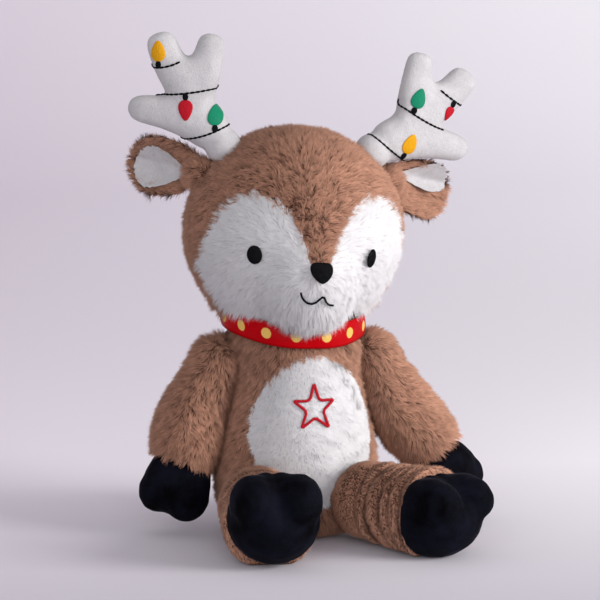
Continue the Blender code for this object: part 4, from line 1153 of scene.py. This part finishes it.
for side, sign in SIDES.items():
    place = Matrix.Translation((sign * SHOULDER_SEAT.x, SHOULDER_SEAT.y, SHOULDER_SEAT.z))
    settled = place @ Matrix.Rotation(-sign * ARM_SETTLES[side], 4, "Y")
    arm_frame = settled @ Matrix.Diagonal((sign, 1, -1, 1)) @ Matrix.Rotation(ARM_SPREADS[side], 4, "Y")
    length = ARM_LENGTH + ARM_SAGS[side]
    profile = limb_profile(SHOULDER_RADIUS, length, ARM_WIDTH / 2, ARM_PROFILE_SHARES, PILE_DEPTH)
    body = f"arm_{side}"
    backing = limb(
        f"arm_{side}_backing", profile, arm_frame, body,
        lambda x, y, z: -arm_fullness(x * ARM_FULL_SIDES[side], z),
    )
    down_arm = np.array(arm_frame.to_3x3() @ Vector((0, 0, 1)))
    shoulder = np.array(arm_frame.translation)

    def arm_keep(points, out):
        far = (points - shoulder) @ down_arm
        return (far > -SHOULDER_RADIUS) & ((far < length - 1 * MM) | (out @ down_arm < 0.5))

    def arm_length(points, out):
        return 1 + 0.2 * np.clip((points[:, 2] - ARM_TUFTS_HEIGHT) / (12 * MM), 0, 1)

    grow_pile(
        backing, body, brown_plush, BROWN_PILE, lambda p, n: np.tile(down_arm, (len(p), 1)),
        {f"arm_{side}_pile": everywhere}, keep=arm_keep, length=arm_length, seed=61 + sign,
    )
    hand = stuffed_from(
        f"hand_{side}_velvet", f"hand_{side}", body, velvet,
        voxel=1.7 * MM, smoothing=5,
    )
    hand.data.transform(Matrix.Translation(HAND_SHIFTS[side]))

# The legs are plush tubes that lie forward on the floor, with the slack of the cloth in rings round them.
# Each foot is a big cloven hoof of black velvet: two lobes above a round sole.
HIP_SEAT = Vector((40 * MM, -56 * MM, 28.5 * MM))
HIP_RADIUS = 27 * MM
LEG_LENGTH = 60 * MM
LEG_WIDTH = 58 * MM
LEG_SPREADS = {"right": math.radians(5), "left": math.radians(28)}
LEG_FOLDS = 4.4
FOLD_DEPTH = 8.0 * MM
LEG_PROFILE_SHARES = ((0.16, 1.02), (0.40, 1.04), (0.70, 1.09), (1.00, 1.15))
LEG_PILE = dict(BROWN_PILE, length=2.8 * MM, radius=0.33 * MM, lean=48, clumping=0.3, clump=6, stray=22)
CLEFT_WIDTH = 2.4 * MM
CLEFT_DEPTH = 1.2 * MM
FOOT_SHIFTS = {"right": (1.5 * MM, 0, 2.2 * MM), "left": (0, 0, -0.4 * MM)}
FOOT_STRETCHES = {"right": 1.07, "left": 0.98}


def in_fold(x, y, z):
    """How far down a fold between two rings of slack cloth a place on a leg lies, from 0 to 1."""
    angle = np.arctan2(y, x)
    start = LEG_PROFILE_SHARES[0][0]
    share = (z / LEG_LENGTH - start) / (1 - start)
    rings = LEG_FOLDS * share + 0.22 * np.sin(angle + 1.3) + 0.14 * np.sin(2 * angle + share * 5)
    rings = rings + 0.18 * np.sin(share * 9)
    uneven = 0.75 + 0.25 * np.sin(angle * 3 + share * 11)
    shown = np.clip((share + 0.1) * 6, 0, 1) * np.clip((1.02 - share) * 9, 0, 1)
    return (0.5 + 0.5 * np.cos(math.tau * rings)) ** 1.1 * uneven * shown


for side, sign in SIDES.items():
    leg_turn = Matrix.Rotation(LEG_SPREADS[side], 4, "Z")
    leg_frame = seated(sign, HIP_SEAT) @ leg_turn @ Matrix.Rotation(math.pi / 2, 4, "X")
    profile = limb_profile(HIP_RADIUS, LEG_LENGTH, LEG_WIDTH / 2, LEG_PROFILE_SHARES, 2.0 * MM)
    body = f"leg_{side}"
    backing = limb(
        f"leg_{side}_backing", profile, leg_frame, body, lambda x, y, z: FOLD_DEPTH * in_fold(x, y, z)
    )
    down_leg = np.array(leg_frame.to_3x3() @ Vector((0, 0, 1)))
    hip = np.array(leg_frame.translation)
    from_leg = np.array(leg_frame.inverted())

    def leg_keep(points, out):
        from_middle = np.linalg.norm(np.cross(points - hip, down_leg), axis=1)
        return ((from_middle > 20 * MM) | (out @ down_leg < 0.5)) & (points[:, 2] > 1.2 * MM)

    def leg_flow(points, out):
        return np.tile(down_leg, (len(points), 1)) * 0.7 + np.array((0, 0, -0.5))

    def leg_length(points, out):
        return np.clip(points[:, 2] / (6 * MM), 0.25, 1)

    # Painted shade and light: how much darker a tuft is painted for lying down in a fold, or lighter (below
    # zero) on a ridge.
    def fold_shading(points, out):
        x, y, z = from_leg[:3, :3] @ points.T + from_leg[:3, 3:]
        return np.clip(in_fold(x, y, z) * 3.2 - 0.55, -0.55, 1)

    grow_pile(
        backing, body, brown_plush, LEG_PILE, leg_flow, {f"leg_{side}_pile": everywhere},
        keep=leg_keep, length=leg_length, shade=fold_shading, seed=71 + sign,
    )
    foot = stuffed_from(
        f"foot_{side}_velvet", f"foot_{side}", body, velvet,
        voxel=1.9 * MM, smoothing=5,
    )
    for vert in foot.data.vertices:
        local = leg_frame.inverted() @ vert.co
        cleft = math.exp(-((local.x / CLEFT_WIDTH) ** 2)) * min(max((local.y + 6 * MM) / (14 * MM), 0), 1)
        away = Vector((local.x * 0.2, local.y, local.z - LEG_LENGTH + 4 * MM)).normalized()
        shifted = leg_frame @ (local - away * CLEFT_DEPTH * cleft) + Vector(FOOT_SHIFTS[side])
        vert.co = (shifted.x, shifted.y, max(shifted.z, 0.3 * MM) * FOOT_STRETCHES[side])

# The tail is a short stuffed scut of the same plush, sewn to the back just above the seat.
# Its pile is the longest on the toy, and fans out from the root.
TAIL_ROOT = (0, 57 * MM, 36 * MM)
TAIL_PILE = dict(BROWN_PILE, length=9.5 * MM)
tail_backing = stuffed_from(
    "tail_backing", "tail", "tail", backing_cloth,
    voxel=1.8 * MM, smoothing=4, inset=3.0 * MM,
)
grow_pile(
    tail_backing, "tail", brown_plush, TAIL_PILE, lambda p, n: turned_to(p - np.array(TAIL_ROOT)),
    {"tail_pile": everywhere}, seed=81,
)

# Inside the seat, a bag of plastic pellets weights the toy so that it sits.
# It is sewn from thin grey lining, and the pellets press through it in lumps.
bag_cloth = Finish("pellet_bag_lining", slot="pellets", roughness=0.8)
lumps = bag_cloth.noise(260, 2)
bag_cloth.feed("Base Color", bag_cloth.mixed(lumps, (0.42, 0.44, 0.48), (0.66, 0.68, 0.72)))
bag_cloth.relief(lumps, 1.2 * MM, 0.8)
stuffed_from(
    "pellet_bag_cloth", "pellet_bag", "torso", bag_cloth, voxel=2 * MM, smoothing=4
)

# The toy sits on a pale sweep of paper that curves up behind it, painted with shade: darker near the camera
# and at the left.
# A large soft window stands to its left, with a weaker fill on its right and a small lamp on the paper.
SWEEP_CURVE = (
    (-3.5, 0), (2.1, 0), (2.4, 0.03), (2.65, 0.12), (2.85, 0.28), (2.98, 0.5), (3.02, 0.8), (3.02, 4.5)
)
SWEEP_HALF_WIDTH = 4
paper = Finish("sweep_paper", roughness=0.95)
paper_side, paper_depth = paper.split(paper.place())
# Painted light and shade: the paper is painted darker near the camera and at the left, and lighter far back,
# most of all on the right, as the lamps fall on it.
lighter_rightwards = ((paper_side - paper_depth * 0.25) * 0.95 + 0.5).within()
lighter_backwards = ((paper_depth + 0.47) * 1.5).within()
shaded_near_paper = paper.mixed(lighter_rightwards, (0.345, 0.327, 0.380), (0.340, 0.326, 0.374))
lit_far_paper = paper.mixed(lighter_rightwards, (0.785, 0.718, 0.790), (0.915, 0.893, 0.930))
paper.feed("Base Color", paper.mixed(lighter_backwards, shaded_near_paper, lit_far_paper))
bm = bmesh.new()
sweep = [bm.verts.new((-SWEEP_HALF_WIDTH, y, z)) for y, z in SWEEP_CURVE]
edges = [bm.edges.new(pair) for pair in zip(sweep, sweep[1:])]
made = bmesh.ops.extrude_edge_only(bm, edges=edges)["geom"]
far_side = [item for item in made if isinstance(item, bmesh.types.BMVert)]
bmesh.ops.translate(bm, verts=far_side, vec=(2 * SWEEP_HALF_WIDTH, 0, 0))
bmesh.ops.recalc_face_normals(bm, faces=bm.faces[:])
smooth_object("sweep", bm, paper)


def aimed(made, place, target):
    """Puts a lamp or the camera in its place, looking at a target."""
    made.location = place
    made.rotation_euler = (Vector(target) - Vector(place)).to_track_quat("-Z", "Y").to_euler()
    return made


def soft_box(name, place, target, size, power, colour):
    light = bpy.data.lights.new(name, "AREA")
    light.shape = "RECTANGLE"
    light.size, light.size_y = size
    light.energy = power
    light.color = colour
    aimed(placed(name, light), place, target)


TOY_MIDDLE = (0, 0, 0.17)
soft_box("window_side", (1.40, -1.15, 0.62), TOY_MIDDLE, (0.9, 0.9), 38, (1.0, 0.985, 0.97))
soft_box("paper_side", (1.9, 1.3, 1.0), (1.1, 3.0, 0.9), (0.8, 0.8), 8, (1.0, 1.0, 1.0))
soft_box("room_side", (-0.7, -1.9, 0.55), TOY_MIDDLE, (1.4, 1.0), 17, (0.97, 0.97, 1.0))
world = bpy.data.worlds.new("room")
world.use_nodes = True
room_light = world.node_tree.nodes["Background"].inputs
room_light["Color"].default_value = (0.84, 0.83, 0.87, 1)
room_light["Strength"].default_value = 0.66
bpy.context.scene.world = world
bpy.context.scene.view_settings.view_transform = "Standard"

# The camera stands a little to the toy's right and above it, at the photograph's angle.
# Its lens is narrow, so the toy is seen almost without perspective.
CAMERA_PLACE = (-0.5901, -2.3814, 0.5060)
CAMERA_TARGET = (0.0088, 0.0207, 0.1580)
FRAME_HALF_WIDTH_SHARE = 0.21 / 2.5
lens = bpy.data.cameras.new("camera")
lens.sensor_width = 36
lens.angle = 2 * math.atan(FRAME_HALF_WIDTH_SHARE)
bpy.context.scene.camera = aimed(placed("camera", lens), CAMERA_PLACE, CAMERA_TARGET)
